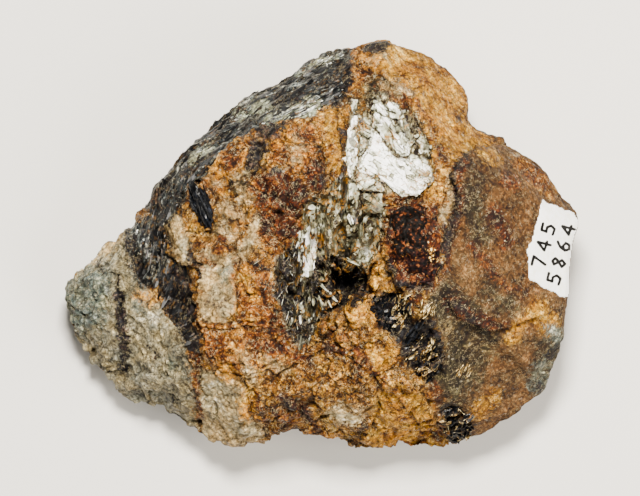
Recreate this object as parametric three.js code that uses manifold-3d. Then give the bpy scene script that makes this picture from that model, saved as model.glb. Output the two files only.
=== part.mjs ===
// Zircon specimen: a hand-sized piece of iron-stained pegmatite that holds a brown zircon crystal, a silvery
// muscovite book, a nest of upright mica blades, black biotite and a painted catalogue label.
// Millimetres, +Z up. The stone lies on a flat patch of its underside with its crystal side up, and the origin
// is the middle of its plan at the height of that patch. Every point below is [x, y] or [x, y, z].

import * as THREE from 'three';
import { mergeVertices } from 'three/addons/utils/BufferGeometryUtils.js';
import Module from 'manifold-3d';

const wasm = await Module();
wasm.setup();

// Driving dimensions
const GAP = 0.3; // clearance between a crystal and the stone round it
const STONE_RINGS = 21; // rings of the top sheet, about 2.4 mm apart
const UNDER_RINGS = 10;
const TOP_REACH = 0.985; // where the top sheet ends, as a share of the way out to the plan's edge
const UNDER_REACH = 0.9; // where the underside ends
const RIM_DROP = 3; // how far the top rounds off at its edge
const RIM_DROP_START = 0.8; // where the rounding begins, as a share of the way out
const ABOVE_ALL = 60; // a height clear of the whole stone

// The plan of the stone, anticlockwise from its left tip.
const STONE_OUTLINE = [
  [-52, -9.5], [-51.5, -14], [-51, -17], [-48.5, -21], [-45, -25], [-41, -30], [-37.5, -32.3], [-33, -32.3],
  [-27, -35.5], [-26, -37], [-22.8, -39], [-17, -40], [-11.8, -38.8], [-5.2, -37], [-0.6, -38],
  [3.4, -39], [7.8, -40.2], [15.4, -40.2], [18.8, -41.4], [25.2, -40.8], [29, -39], [33.2, -37.4],
  [36.8, -34.8], [41.8, -31.6], [45, -29.2], [47, -22.4], [49, -19.2], [48.6, -15.2], [49.6, -10.4],
  [50, -4.4], [50.4, 0.2], [51.8, 4], [51.4, 6.6], [48.4, 9.4], [46.2, 12.8], [43, 16.8], [40, 18.8],
  [36.8, 20.4], [31.8, 23], [29.4, 25.4], [29.6, 27.6], [28.2, 31.2], [25.4, 34.6], [21.4, 37.6],
  [16.4, 39.6], [13, 41.2], [9, 40.6], [4.8, 39.2], [0.2, 38.4], [-4.2, 35.4], [-11.8, 31.2],
  [-19.8, 26.2], [-26.2, 20], [-31.2, 14], [-33.8, 10.8], [-34.2, 7.6], [-38, 4], [-44.8, -1.4], [-49.2, -6.4],
];

// The flat breaks of the top, each through three points. The body is the lowest of its faces, and the
// tongue at the left the lowest of its own; the stone is the higher of the two.
const BODY_FACES = {
  schist: [[4.8, 36.8, 35], [-23.2, 16.2, 33], [-17.2, 28.4, 20]],
  leftCrown: [[-23.2, 16.2, 33], [3.8, 28.2, 41], [-24.2, -19.8, 31.5]],
  rightCrown: [[4.8, 13.2, 42], [21.8, 15.2, 44], [12.8, 37.2, 35]],
  ochre: [[12.8, 37.2, 35], [24.8, 16.2, 44], [29, 29.2, 27]],
  slab: [[26.8, 14.2, 44], [23.8, -10.8, 41.5], [50.8, -0.8, 24]],
  slabShoulder: [[31.8, 19.2, 41], [46.8, 6.8, 28], [41, 18, 29]],
  lowerSlab: [[23.8, -10.8, 41.5], [44.8, -16.8, 26], [29.8, -37.8, 20]],
  foot: [[-4.2, -30.8, 30], [21.8, -27.8, 31], [7.8, -40.2, 15]],
  leftFoot: [[-24.2, -19.8, 31.5], [-11.8, -30.8, 31], [-22.8, -39, 14]],
  crown: [[4.8, 13.2, 42.5], [23.8, -6.8, 44.5], [-4.2, -18.8, 37.5]],
  lowerCrown: [[-4.2, -18.8, 37.5], [23.8, -14.8, 42], [-4.2, -30.8, 30.5]],
  leftScarp: [[-25.2, -0.8, 32], [-24.2, -19.8, 31], [-32.2, -3.2, 25]],
};
const TONGUE_FACES = {
  back: [[-38.2, -0.8, 25.5], [-26.2, -16.8, 26.5], [-49.2, -10.8, 18]],
  lowerEdge: [[-49.2, -10.8, 18], [-33.2, -27.8, 19.5], [-45, -24.8, 13]],
  upperEdge: [[-49.2, -10.8, 18], [-38, 2.2, 23], [-47.2, -4, 15]],
  heel: [[-33.2, -27.8, 19.5], [-25.2, -30.8, 21], [-34.2, -32.2, 13]],
  root: [[-31, -1, 26], [-27, -22, 26.5], [-12, -12, 14]],
};

// The underside: flat at 0, and lifting beyond an offset in each of these directions.
const UNDER_LIFTS = [
  { degrees: 182, offset: 24, slope: 0.24 },
  { degrees: 35, offset: 21, slope: 0.45 },
  { degrees: -38, offset: 23, slope: 0.38 },
  { degrees: 112, offset: 17, slope: 0.5 },
  { degrees: 245, offset: 21, slope: 0.3 },
];

// Blocks that stand proud of the face round them, or lie below it.
const LEDGES = [
  { name: 'brown slab', height: 2.2, edge: 0.7, outline: [[34, 20], [27.5, 15], [27.2, 8], [27.4, 1], [24, -8],
    [28, -14], [34, -20], [44, -26], [60, -12], [60, 12], [45, 18]] },
  { name: 'pale block', height: 1.6, edge: 0.8, outline: [[-25, -1], [-18.5, 0.8], [-11.2, 2], [-11, -14],
    [-20, -14.5], [-24.6, -15]] },
  { name: 'ochre block', height: 2, edge: 0.8, outline: [[-11, 21.5], [3, 27.5], [3.4, 17], [0.6, 10.5],
    [-4, 7.5], [-12, 13]] },
  { name: 'cleavage block', height: 2.4, edge: 0.6, outline: [[12, -27.5], [16, -25.5], [20.5, -29.5],
    [25, -35.4], [14.5, -36.2], [12.4, -34]] },
  { name: 'lower step', height: -2, edge: 0.7, outline: [[11, -36.8], [25.6, -36], [27, -44], [10, -44]] },
  { name: 'seam of black mica', height: -2, edge: 1.2, outline: [[-37.5, 3], [-33, 5], [-30.5, -2], [-26, -4],
    [-25.8, -12], [-24.8, -19.5], [-27, -20.5], [-30, -13], [-35.5, -7.5], [-38, -3]] },
  { name: 'hollow below the slab', height: -1.6, edge: 1.0, outline: [[11, -10], [15.5, -11], [22, -20],
    [24.5, -27], [19.5, -28], [16.5, -20], [11, -16]] },
  { name: 'schist step', height: -1.6, edge: 0.9, outline: [[-8, 24.4], [3.5, 27.6], [4, 33], [7, 45],
    [-12, 45], [-30, 22], [-24, 17.5], [-16, 21.5]] },
];
const PITS = [
  { at: [4.4, -5.5], radii: [11.5, 14.5], depth: 1.8 },
  { at: [-31, -3], radii: [4, 6], depth: 1 },
  { at: [14, 36.5], radii: [5, 2.2], depth: 0.8 },
];

// The steps of the schist face: long low ribs along the foliation.
const FOLIATION = { degrees: 31, length: 9, width: 1.7, relief: 0.55 };

// How rough each kind of break is, as [facet size, height] pairs.
const ROUGH = [[14, 1.5], [6.5, 0.9], [3.4, 0.4]];
const UNDER_ROUGH = [[9, 1.1], [4, 0.5]];
const SMOOTH_SHARE = 0.45; // the slab and the ochre face are this much as rough as the rest
const SMOOTH_FROM = { slab: 27, ochre: 30 }; // how far out in their directions those two faces begin
const BLEND = 3; // half width of the band in which one roughness passes into another

// The side wall, from the top downwards: points in the ring, its reach as a share of the way out, how far down
// it lies between the top and the underside, and its roughness.
const WALLS = [
  { count: 200, reach: 1, fall: 0.16, rough: 0.25 },
  { count: 152, reach: 0.985, fall: 0.45, rough: 1.1 },
  { count: 120, reach: 0.95, fall: 0.78, rough: 1.1 },
];
const WALL_FACET = 5;

// Crystals: the plan of each, how deep it is set, and what stands in it.
const MUSCOVITE_BOOK = {
  outline: [[4.6, 13.6], [6, 9.8], [10.8, 10.2], [14.8, 8.4], [18, 10.4], [20.8, 12], [23, 15], [22.6, 19.5],
    [21, 23.8], [19, 27], [15.8, 29.4], [10, 30], [6.4, 29.2], [4.6, 27.6], [5, 21]],
  depth: 2.6,
  shards: [ // cleavage faces, each with its slope across and up the plan, and its lift above the stone
    { at: [8, 26], slope: [0.1, -0.12], lift: 0.7 }, { at: [6, 18], slope: [-0.2, 0.02], lift: 0.9 },
    { at: [12, 25], slope: [0.16, 0.1], lift: 0.5 }, { at: [17, 25.5], slope: [-0.1, -0.1], lift: 0.4 },
    { at: [16, 20], slope: [0.12, 0.14], lift: 0.9 }, { at: [20, 21], slope: [-0.24, 0.05], lift: 0.2 },
    { at: [12, 17], slope: [-0.06, -0.16], lift: 1.3 }, { at: [17, 14.5], slope: [0.08, 0.2], lift: 1.2 },
    { at: [20.5, 15.5], slope: [-0.16, -0.06], lift: 0.9 }, { at: [8, 12.5], slope: [0.1, 0.16], lift: 0.7 },
  ],
};
const MUSCOVITE_NEST = {
  outline: [[-6.2, 4], [-8, 0.2], [-8.4, -4.8], [-7.2, -10.8], [-4.2, -15.8], [-1.2, -19.8], [2.8, -20.6],
    [5.8, -16.8], [8.2, -11.8], [11.4, -7.8], [12.2, -3.2], [12.4, 2.2], [10.2, 6.8], [5.4, 8.8], [1.8, 10],
    [-2.2, 8.2]],
  depth: 5,
  bedDrop: 0.9, // how far the bed lies under the stone round it
  hollow: { at: [5.4, -7.2], radius: 5.2, depth: 3 },
  sheets: [ // middle and length of each long sheet
    [-1.4, 3.6, 5.5], [1.2, 1.6, 8], [3.2, 5.5, 6.5], [2, -4.5, 9], [-3.4, -1.5, 6], [-1.6, -8, 7],
    [0.6, -13.5, 6.5], [6.6, 4.6, 4.5], [-5.4, -6.5, 4.5], [3.4, -16, 4], [9.2, 2.2, 4], [-4.6, -12, 4],
  ],
  sheetSize: { turn: 84, height: 6, thick: 0.7 },
  fan: { count: 9, from: -70, step: 36, radius: 4.4, length: 3.4, height: 5.6, thick: 0.6 },
};
const ZIRCON = {
  outline: [[13.4, 6.4], [12.9, 2.2], [13.2, -3.2], [15, -7.4], [18.6, -8.4], [22.6, -7.2], [23.6, -3.4],
    [24, 1.8], [23, 6.6], [20, 8.2], [15.8, 8]],
  depth: 4.5,
  turn: 20, // of the prism in plan
  halfWidth: 5.6,
  halfLength: 8,
  proud: 2.6, // how far its top stands above the stone
  fall: 1.6, // of the top from its middle to its edge
  flatShare: 0.25, // of the top that stays level in the middle
  rough: [2.4, 0.5],
};
const BIOTITE_BLADE = {
  outline: [[-26.5, 11.3], [-25.7, 7.7], [-24.1, 5.1], [-22.5, 3.5], [-21.1, 4.5], [-20.7, 7.1], [-21.9, 9.7],
    [-23.3, 12.3], [-25.1, 12.7]],
  depth: 3, turn: -62, blades: 4, spread: 4.5,
};
const BIOTITE_CLUSTER = {
  outline: [[10.4, -11.4], [12, -15.6], [15.4, -18.6], [16.4, -23.6], [18.6, -26.8], [21.8, -27.6], [24.2, -25],
    [23.4, -20], [20.8, -15], [18, -12.6], [15, -9.6], [12, -10]],
  depth: 3.2, turn: 48, blades: 9, spread: 15,
};
const BIOTITE_TOE = {
  outline: [[23.4, -33.4], [25, -37], [27.6, -38.2], [29.6, -36.6], [30.2, -34.6], [28.4, -33], [26.2, -31.8]],
  depth: 2.4, turn: 20, blades: 4, spread: 5.5,
};
const BIOTITE_SHEETS = { length: 7.5, proud: 0.7, thick: 0.8, lean: 14, bedDrop: 0.3 };
const LABEL = {
  outline: [[44.8, 8.4], [43.4, 6.2], [41.8, 2.2], [41, -2.4], [41.4, -5.8], [43.8, -8.2], [47, -9.4],
    [48.4, -10], [48.8, -4.4], [49.2, 0.2], [50.5, 3.8], [49.8, 6.2], [47.2, 8]],
  thickness: 0.7,
  reachDown: 2, // how far its solid goes below the stone before the stone is cut from it
};

// Small helpers

const smooth = (low, high, value) => {
  const t = Math.min(1, Math.max(0, (value - low) / (high - low)));
  return t * t * (3 - 2 * t);
};
const mix = (a, b, share) => a + (b - a) * share;
const toRadians = (degrees) => (degrees * Math.PI) / 180;

// The height at [x, y] of the plane through three points.
function planeHeight([a, b, c], x, y) {
  const [bx, by, bz] = [b[0] - a[0], b[1] - a[1], b[2] - a[2]];
  const [cx, cy, cz] = [c[0] - a[0], c[1] - a[1], c[2] - a[2]];
  const area = bx * cy - by * cx;
  const slopeX = (bz * cy - cz * by) / area;
  const slopeY = (bx * cz - cx * bz) / area;
  return a[2] + slopeX * (x - a[0]) + slopeY * (y - a[1]);
}

// Distance from a point to a closed outline, positive inside it.
function depthInside(outline, x, y) {
  let nearest = Infinity;
  let inside = false;
  outline.forEach(([ax, ay], i) => {
    const [bx, by] = outline[(i + 1) % outline.length];
    const share = ((x - ax) * (bx - ax) + (y - ay) * (by - ay)) / ((bx - ax) ** 2 + (by - ay) ** 2);
    const t = Math.min(1, Math.max(0, share));
    nearest = Math.min(nearest, Math.hypot(x - mix(ax, bx, t), y - mix(ay, by, t)));
    if (ay > y !== by > y && x < ax + ((y - ay) * (bx - ax)) / (by - ay)) inside = !inside;
  });
  return inside ? nearest : -nearest;
}

// A repeatable random value from -1 to 1 for a lattice corner.
function cornerValue(i, j, k, seed) {
  const wave = Math.sin(i * 127.1 + j * 311.7 + k * 74.7 + seed * 53.3) * 43758.5453;
  return (wave - Math.floor(wave)) * 2 - 1;
}

// Noise made of flat facets: corner values of a turned cubic lattice, joined in a straight line over the six
// tetrahedra of each cell.
function facets(x, y, z, size, seed) {
  const turned = [0.8 * x + 0.48 * y + 0.36 * z, -0.6 * x + 0.64 * y + 0.48 * z, -0.6 * y + 0.8 * z];
  const cell = turned.map((v) => Math.floor(v / size));
  const within = turned.map((v, axis) => v / size - cell[axis]);
  const order = [0, 1, 2].sort((a, b) => within[b] - within[a]);
  const corner = [...cell];
  let before = 1;
  let sum = 0;
  for (const axis of order) {
    sum += (before - within[axis]) * cornerValue(...corner, seed);
    before = within[axis];
    corner[axis] += 1;
  }
  return sum + before * cornerValue(...corner, seed);
}

// A point at a share of the way round a closed outline.
function alongOutline(outline) {
  const lengths = outline.map(([x, y], i) => {
    const [nx, ny] = outline[(i + 1) % outline.length];
    return Math.hypot(nx - x, ny - y);
  });
  const total = lengths.reduce((sum, length) => sum + length, 0);
  return (share) => {
    let left = (((share % 1) + 1) % 1) * total;
    let i = 0;
    while (left > lengths[i] && i < outline.length - 1) left -= lengths[i++];
    const [x, y] = outline[i];
    const [nx, ny] = outline[(i + 1) % outline.length];
    return [mix(x, nx, left / lengths[i]), mix(y, ny, left / lengths[i])];
  };
}

// A closed geometry from rings of points, which go from one pole over the skin to the other. Neighbouring rings
// may differ in number.
function skin(rings) {
  const points = [];
  const faces = [];
  const numbered = rings.map((ring) => ring.map((point) => points.push(point) - 1));
  for (let r = 1; r < numbered.length; r++) {
    const [from, to] = [numbered[r - 1], numbered[r]];
    let i = 0;
    let j = 0;
    while (i < from.length || j < to.length) {
      const [a, b] = [from[i % from.length], to[j % to.length]];
      const stepTo = j < to.length && (i >= from.length || (j + 1) / to.length <= (i + 1) / from.length);
      if (stepTo) j += 1;
      else i += 1;
      const c = stepTo ? to[j % to.length] : from[i % from.length];
      if (c !== a && c !== b) faces.push(a, b, c);
    }
  }
  const geometry = new THREE.BufferGeometry();
  geometry.setAttribute('position', new THREE.Float32BufferAttribute(points.flat(), 3));
  geometry.setIndex(faces);
  return geometry;
}

// The rings of a sheet over an outline, from its middle to its edge, at the height that a function gives.
function sheetRings(outline, centre, count, height, reach = 1) {
  const edge = alongOutline(outline);
  const rings = [[[centre[0], centre[1], height(centre[0], centre[1], 0)]]];
  for (let k = 1; k <= count; k++) {
    const share = (k / count) * reach;
    rings.push(Array.from({ length: 8 * k }, (_, i) => {
      const [ex, ey] = edge(i / (8 * k));
      const [x, y] = [mix(centre[0], ex, share), mix(centre[1], ey, share)];
      return [x, y, height(x, y, share)];
    }));
  }
  return rings;
}

// A solid over an outline between a top height and a flat bottom, which may tilt. Its edge keeps every corner of
// the outline.
function prism(outline, rings, top, bottom) {
  const centre = middleOf(outline);
  const upper = sheetRings(outline, centre, rings, top).slice(0, -1);
  const edge = rings > 1 ? subdivided(outline, (2.2 * sizeOf(outline)) / (8 * rings)) : outline;
  const upperEdge = edge.map(([x, y]) => [x, y, top(x, y)]);
  const lowerEdge = edge.map(([x, y]) => [x, y, bottom(x, y)]);
  return skin([...upper, upperEdge, lowerEdge, [[...centre, bottom(...centre)]]]);
}

// An outline with its long sides split.
const subdivided = (outline, longest) => outline.flatMap(([x, y], i) => {
  const [nx, ny] = outline[(i + 1) % outline.length];
  const pieces = Math.max(1, Math.round(Math.hypot(nx - x, ny - y) / longest));
  return Array.from({ length: pieces }, (_, piece) => [mix(x, nx, piece / pieces), mix(y, ny, piece / pieces)]);
});

// The width and the depth of an outline, added up.
const sizeOf = (outline) => [0, 1].reduce((sum, axis) => {
  const values = outline.map((point) => point[axis]);
  return sum + Math.max(...values) - Math.min(...values);
}, 0);

const middleOf = (outline) => [0, 1].map((axis) =>
  outline.reduce((sum, point) => sum + point[axis], 0) / outline.length);

// An outline with every side moved inwards by a distance.
function inset(outline, distance) {
  const inward = outline.map(([x, y], i) => {
    const [nx, ny] = outline[(i + 1) % outline.length];
    return new THREE.Vector2(y - ny, nx - x).normalize();
  });
  return outline.map(([x, y], i) => {
    const before = inward.at(i - 1);
    const corner = before.clone().add(inward[i]).normalize();
    const reach = distance / corner.dot(before);
    return [x + corner.x * reach, y + corner.y * reach];
  });
}

// A geometry as a solid for joining and cutting, and back.
function solidOf(geometry) {
  const bare = geometry.index ? geometry.clone() : geometry;
  bare.deleteAttribute('normal');
  bare.deleteAttribute('uv');
  const merged = mergeVertices(bare, 1e-4);
  return new wasm.Manifold(new wasm.Mesh({
    numProp: 3,
    vertProperties: new Float32Array(merged.attributes.position.array),
    triVerts: new Uint32Array(merged.index.array),
  }));
}

function geometryOf(solid) {
  const mesh = solid.getMesh();
  const geometry = new THREE.BufferGeometry();
  geometry.setAttribute('position', new THREE.BufferAttribute(new Float32Array(mesh.vertProperties), 3));
  geometry.setIndex(new THREE.BufferAttribute(new Uint32Array(mesh.triVerts), 1));
  const flat = geometry.toNonIndexed();
  flat.computeVertexNormals();
  return flat;
}

// The stone's surface

const lowestFace = (faces, x, y) => Math.min(...Object.values(faces).map((face) => planeHeight(face, x, y)));

function stoneTop(x, y, share = shareOut(x, y)) {
  const broken = Math.max(lowestFace(BODY_FACES, x, y), lowestFace(TONGUE_FACES, x, y));
  const smoothFace = Math.max(smooth(-BLEND, BLEND, x + 0.2 * y - SMOOTH_FROM.slab),
    smooth(-BLEND, BLEND, 0.75 * x + 0.65 * y - SMOOTH_FROM.ochre));
  const roughness = mix(1, SMOOTH_SHARE, smoothFace);
  const rough = roughAt(ROUGH, x, y, broken, 0);
  const ledges = LEDGES.reduce((sum, ledge) =>
    sum + ledge.height * smooth(-ledge.edge, ledge.edge, depthInside(ledge.outline, x, y)), 0);
  const pits = PITS.reduce((sum, { at, radii, depth }) =>
    sum + depth * smooth(1, 0.2, Math.hypot((x - at[0]) / radii[0], (y - at[1]) / radii[1])), 0);
  const rounding = RIM_DROP * smooth(RIM_DROP_START, 1, share) ** 2;
  return broken + roughness * rough + ledges - pits - rounding + schistRibs(x, y);
}

function roughAt(sizes, x, y, z, seed) {
  return sizes.reduce((sum, [size, height], i) => sum + height * facets(x, y, z, size, seed + i), 0);
}

function schistRibs(x, y) {
  const angle = toRadians(FOLIATION.degrees);
  const along = x * Math.cos(angle) + y * Math.sin(angle);
  const across = y * Math.cos(angle) - x * Math.sin(angle);
  const ribs = facets(along / FOLIATION.length, across / FOLIATION.width, 0, 1, 9);
  const onSchist = smooth(-1.5, 1.5, depthInside(LEDGES.at(-1).outline, x, y));
  return FOLIATION.relief * ribs * onSchist;
}

// How far out a point lies, from 0 at the middle of the plan to 1 at its edge.
function shareOut(x, y) {
  const angle = Math.atan2(y, x);
  for (let i = 0; i < STONE_OUTLINE.length; i++) {
    const [ax, ay] = STONE_OUTLINE[i];
    const [bx, by] = STONE_OUTLINE[(i + 1) % STONE_OUTLINE.length];
    const turn = (px, py) => Math.cos(angle) * py - Math.sin(angle) * px;
    const [from, to] = [turn(ax, ay), turn(bx, by)];
    if (from > 0 || to <= 0) continue;
    const t = from / (from - to);
    const [ex, ey] = [mix(ax, bx, t), mix(ay, by, t)];
    if (ex * Math.cos(angle) + ey * Math.sin(angle) <= 0) continue;
    return Math.hypot(x, y) / Math.hypot(ex, ey);
  }
  return 1;
}

function stoneUnder(x, y) {
  const lift = Math.max(0, ...UNDER_LIFTS.map(({ degrees, offset, slope }) =>
    slope * (x * Math.cos(toRadians(degrees)) + y * Math.sin(toRadians(degrees)) - offset)));
  return Math.max(0, lift + roughAt(UNDER_ROUGH, x, y, lift, 21) * smooth(0.1, 2.5, lift));
}

// The stone: the top sheet, the rings of the side wall and the underside.
function stoneSolid() {
  const centre = [0, 0];
  const top = sheetRings(STONE_OUTLINE, centre, STONE_RINGS, stoneTop, TOP_REACH);
  const under = sheetRings(STONE_OUTLINE, centre, UNDER_RINGS, stoneUnder, UNDER_REACH).reverse();
  const edge = alongOutline(STONE_OUTLINE);
  const rim = top.at(-1);
  const walls = WALLS.map(({ count, reach, fall, rough }) => Array.from({ length: count }, (_, i) => {
    const [ex, ey] = edge(i / count);
    const rimHeight = rim[Math.round((i / count) * rim.length) % rim.length][2];
    const height = mix(rimHeight, stoneUnder(ex * UNDER_REACH, ey * UNDER_REACH), fall);
    const push = reach + (rough * facets(ex, ey, height, WALL_FACET, 31)) / Math.hypot(ex, ey);
    return [ex * push, ey * push, height];
  }));
  return solidOf(skin([...top, ...walls, ...under]));
}

// The space that a crystal fills, and the same space opened to the sky as the pocket cut for it.
function pocket({ outline, depth }) {
  return solidOf(prism(outline, 1, () => ABOVE_ALL, floorUnder(outline, depth)));
}
function plug({ outline, depth }, top, rings = 3) {
  return solidOf(prism(inset(outline, GAP), rings, top, floorUnder(outline, depth - GAP)));
}

// A plane that lies a depth below the stone all over an outline, tilted as the stone is there.
function floorUnder(outline, depth) {
  const [cx, cy] = middleOf(outline);
  const samples = outline.map(([x, y]) => [x - cx, y - cy, stoneTop(x, y)]);
  const sumOf = (a, b) => samples.reduce((sum, sample) => sum + sample[a] * sample[b], 0);
  const spread = sumOf(0, 0) * sumOf(1, 1) - sumOf(0, 1) ** 2;
  const slopeX = (sumOf(0, 2) * sumOf(1, 1) - sumOf(1, 2) * sumOf(0, 1)) / spread;
  const slopeY = (sumOf(1, 2) * sumOf(0, 0) - sumOf(0, 2) * sumOf(0, 1)) / spread;
  const base = Math.min(...samples.map(([x, y, z]) => z - slopeX * x - slopeY * y), stoneTop(cx, cy));
  return (x, y) => base - depth + slopeX * (x - cx) + slopeY * (y - cy);
}

// A stack of cleaved mica sheets: each shard is a tilted plane, and the top is the nearest shard at each point.
function muscoviteBook() {
  const top = (x, y) => {
    const nearest = MUSCOVITE_BOOK.shards.reduce((best, shard) =>
      Math.hypot(x - shard.at[0], y - shard.at[1]) < Math.hypot(x - best.at[0], y - best.at[1]) ? shard : best);
    const { at, slope, lift } = nearest;
    return planeHeight(BODY_FACES.rightCrown, x, y) + lift + slope[0] * (x - at[0]) + slope[1] * (y - at[1]);
  };
  return plug(MUSCOVITE_BOOK, top, 9);
}

// One cleavage blade: a thin plate that stands on edge, leaning a little.
function blade({ at, length, height, thick, turn, lean, base }) {
  const geometry = new THREE.BoxGeometry(length, thick, height);
  geometry.translate(0, 0, height / 2);
  geometry.rotateX(toRadians(lean));
  geometry.rotateZ(toRadians(turn));
  geometry.translate(at[0], at[1], base);
  return solidOf(geometry);
}

// Blades that stand out of a bed and stay inside the plan of their pocket.
function bladeNest(place, bed, blades) {
  const limit = solidOf(prism(inset(place.outline, GAP), 1, () => ABOVE_ALL,
    floorUnder(place.outline, place.depth - GAP)));
  const floor = floorUnder(place.outline, place.depth / 2);
  const standing = blades.map((plate) => blade({ base: floor(...plate.at), ...plate }));
  return standing.reduce((joined, plate) => joined.add(plate), plug(place, bed)).intersect(limit);
}

// Upright muscovite round a small dark hollow: long sheets run up the middle, and short ones fan round it.
function muscoviteNest() {
  const { bedDrop, hollow, sheets, sheetSize, fan } = MUSCOVITE_NEST;
  const bed = (x, y) => stoneTop(x, y) - bedDrop
    - hollow.depth * smooth(1, 0.35, Math.hypot(x - hollow.at[0], y - hollow.at[1]) / hollow.radius);
  const long = sheets.map(([x, y, length], i) => ({
    ...sheetSize, at: [x, y], length, turn: sheetSize.turn + 9 * Math.sin(i * 2.3), lean: 5 * Math.sin(i * 1.7),
  }));
  const short = Array.from({ length: fan.count }, (_, i) => {
    const turn = fan.from + i * fan.step;
    const [dx, dy] = [Math.cos(toRadians(turn)), Math.sin(toRadians(turn))];
    return {
      ...fan, at: [hollow.at[0] + fan.radius * dx, hollow.at[1] + fan.radius * dy],
      turn: turn + 12 * Math.sin(i * 3.1), lean: 8 * Math.sin(i * 1.3),
    };
  });
  return bladeNest(MUSCOVITE_NEST, bed, [...long, ...short]);
}

// The zircon: a stubby four-sided prism, worn at its corners, with a low pyramid for a top.
function zirconCrystal() {
  const { outline, turn, halfWidth, halfLength, proud, fall, flatShare, rough } = ZIRCON;
  const [cx, cy] = middleOf(outline);
  const [cos, sin] = [Math.cos(toRadians(turn)), Math.sin(toRadians(turn))];
  const top = (x, y) => {
    const across = Math.abs(cos * (x - cx) + sin * (y - cy)) / halfWidth;
    const along = Math.abs(cos * (y - cy) - sin * (x - cx)) / halfLength;
    const drop = fall * Math.max(0, Math.max(across, along) - flatShare);
    return stoneTop(cx, cy) + proud - drop + roughAt([rough], x, y, 0, 41);
  };
  return plug(ZIRCON, top, 7);
}

// Books of biotite: a bed with leaning blades, all turned about the same way.
function biotiteBook(place) {
  const { length, proud, thick, lean, bedDrop } = BIOTITE_SHEETS;
  const [cx, cy] = middleOf(place.outline);
  const across = toRadians(place.turn + 90);
  const blades = Array.from({ length: place.blades }, (_, i) => {
    const shift = ((i + 0.5) / place.blades - 0.5) * place.spread;
    return {
      at: [cx + shift * Math.cos(across), cy + shift * Math.sin(across)], length: length + 2 * Math.sin(i * 2.1),
      height: place.depth + proud + 0.35 * Math.sin(i * 4.3), thick, turn: place.turn + 6 * Math.sin(i * 1.9), lean,
    };
  });
  return bladeNest(place, (x, y) => stoneTop(x, y) - bedDrop, blades);
}

// The catalogue label: a patch of white paint that follows the stone.
function label(stone) {
  const block = solidOf(prism(LABEL.outline, 5,
    (x, y) => stoneTop(x, y) + GAP + LABEL.thickness, floorUnder(LABEL.outline, LABEL.reachDown)));
  return block.subtract(stone.translate([0, 0, GAP])).decompose()
    .reduce((largest, piece) => (piece.volume() > largest.volume() ? piece : largest));
}

// Assembly

const FINISHES = {
  rock: { color: 0xa9773f, roughness: 0.85, metalness: 0 },
  muscovite: { color: 0xd6d8cf, roughness: 0.3, metalness: 0.1 },
  zircon: { color: 0x4a1f14, roughness: 0.4, metalness: 0 },
  biotite: { color: 0x16181c, roughness: 0.25, metalness: 0.1 },
  paint: { color: 0xf1f2ea, roughness: 0.6, metalness: 0 },
};

const specimen = new THREE.Group();

function addPiece(name, solid, finish) {
  const mesh = new THREE.Mesh(geometryOf(solid), new THREE.MeshStandardMaterial(FINISHES[finish]));
  mesh.name = name;
  specimen.add(mesh);
}

const crystals = [MUSCOVITE_BOOK, MUSCOVITE_NEST, ZIRCON, BIOTITE_BLADE, BIOTITE_CLUSTER, BIOTITE_TOE];
const stone = crystals.reduce((left, place) => left.subtract(pocket(place)), stoneSolid());

addPiece('matrix', stone, 'rock');
addPiece('muscovite_book', muscoviteBook(), 'muscovite');
addPiece('muscovite_nest', muscoviteNest(), 'muscovite');
addPiece('zircon_crystal', zirconCrystal(), 'zircon');
addPiece('biotite_blade', biotiteBook(BIOTITE_BLADE), 'biotite');
addPiece('biotite_cluster', biotiteBook(BIOTITE_CLUSTER), 'biotite');
addPiece('biotite_toe', biotiteBook(BIOTITE_TOE), 'biotite');
addPiece('catalogue_label', label(stone), 'paint');

// The origin is the middle of the plan.
const middle = new THREE.Box3().setFromObject(specimen).getCenter(new THREE.Vector3());
specimen.position.set(-middle.x, -middle.y, 0);

export default specimen;
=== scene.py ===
import math

import bmesh
import bpy
import numpy as np
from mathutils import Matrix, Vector
from mathutils.bvhtree import BVHTree


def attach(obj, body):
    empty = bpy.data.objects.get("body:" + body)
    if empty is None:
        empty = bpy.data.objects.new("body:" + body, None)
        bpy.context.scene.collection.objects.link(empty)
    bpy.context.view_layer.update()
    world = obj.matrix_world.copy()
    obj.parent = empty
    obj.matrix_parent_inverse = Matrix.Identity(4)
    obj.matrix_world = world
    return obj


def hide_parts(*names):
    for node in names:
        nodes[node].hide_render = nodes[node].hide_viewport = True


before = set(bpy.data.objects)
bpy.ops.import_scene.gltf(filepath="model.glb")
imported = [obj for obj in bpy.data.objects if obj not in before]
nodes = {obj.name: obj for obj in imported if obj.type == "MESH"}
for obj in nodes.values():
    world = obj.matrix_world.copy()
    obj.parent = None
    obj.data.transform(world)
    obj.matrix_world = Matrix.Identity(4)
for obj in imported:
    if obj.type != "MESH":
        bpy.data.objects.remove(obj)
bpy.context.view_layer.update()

# A lump of iron-stained pegmatite with a zircon, mica books and a painted label.
# It lies on its back, so x and y are the plan that the camera looks down on.
# Places and sizes are in millimetres from the middle of the base, and meshes are made in metres.
mm = 0.001


# Random relief

def cornerValue(corner, seed):
    # a repeatable value from -1 to 1 for each lattice corner
    wave = np.sin(corner @ np.array([127.1, 311.7, 74.7]) + seed * 53.3) * 43758.5453
    return (wave - np.floor(wave)) * 2 - 1


def facets(points, size, seed):
    # noise made of flat facets, as a fresh break has: straight lines over the tetrahedra of a turned lattice
    turn = np.array([[0.8, 0.48, 0.36], [-0.6, 0.64, 0.48], [0, -0.6, 0.8]])
    turned = points @ turn.T / size
    corner = np.floor(turned)
    within = turned - corner
    order = np.argsort(-within, axis=1)
    rows = np.arange(len(points))
    before = np.ones(len(points))
    total = np.zeros(len(points))
    for step in range(3):
        axis = order[:, step]
        share = within[rows, axis]
        total += (before - share) * cornerValue(corner, seed)
        before = share
        corner[rows, axis] += 1
    return total + before * cornerValue(corner, seed)


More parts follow.
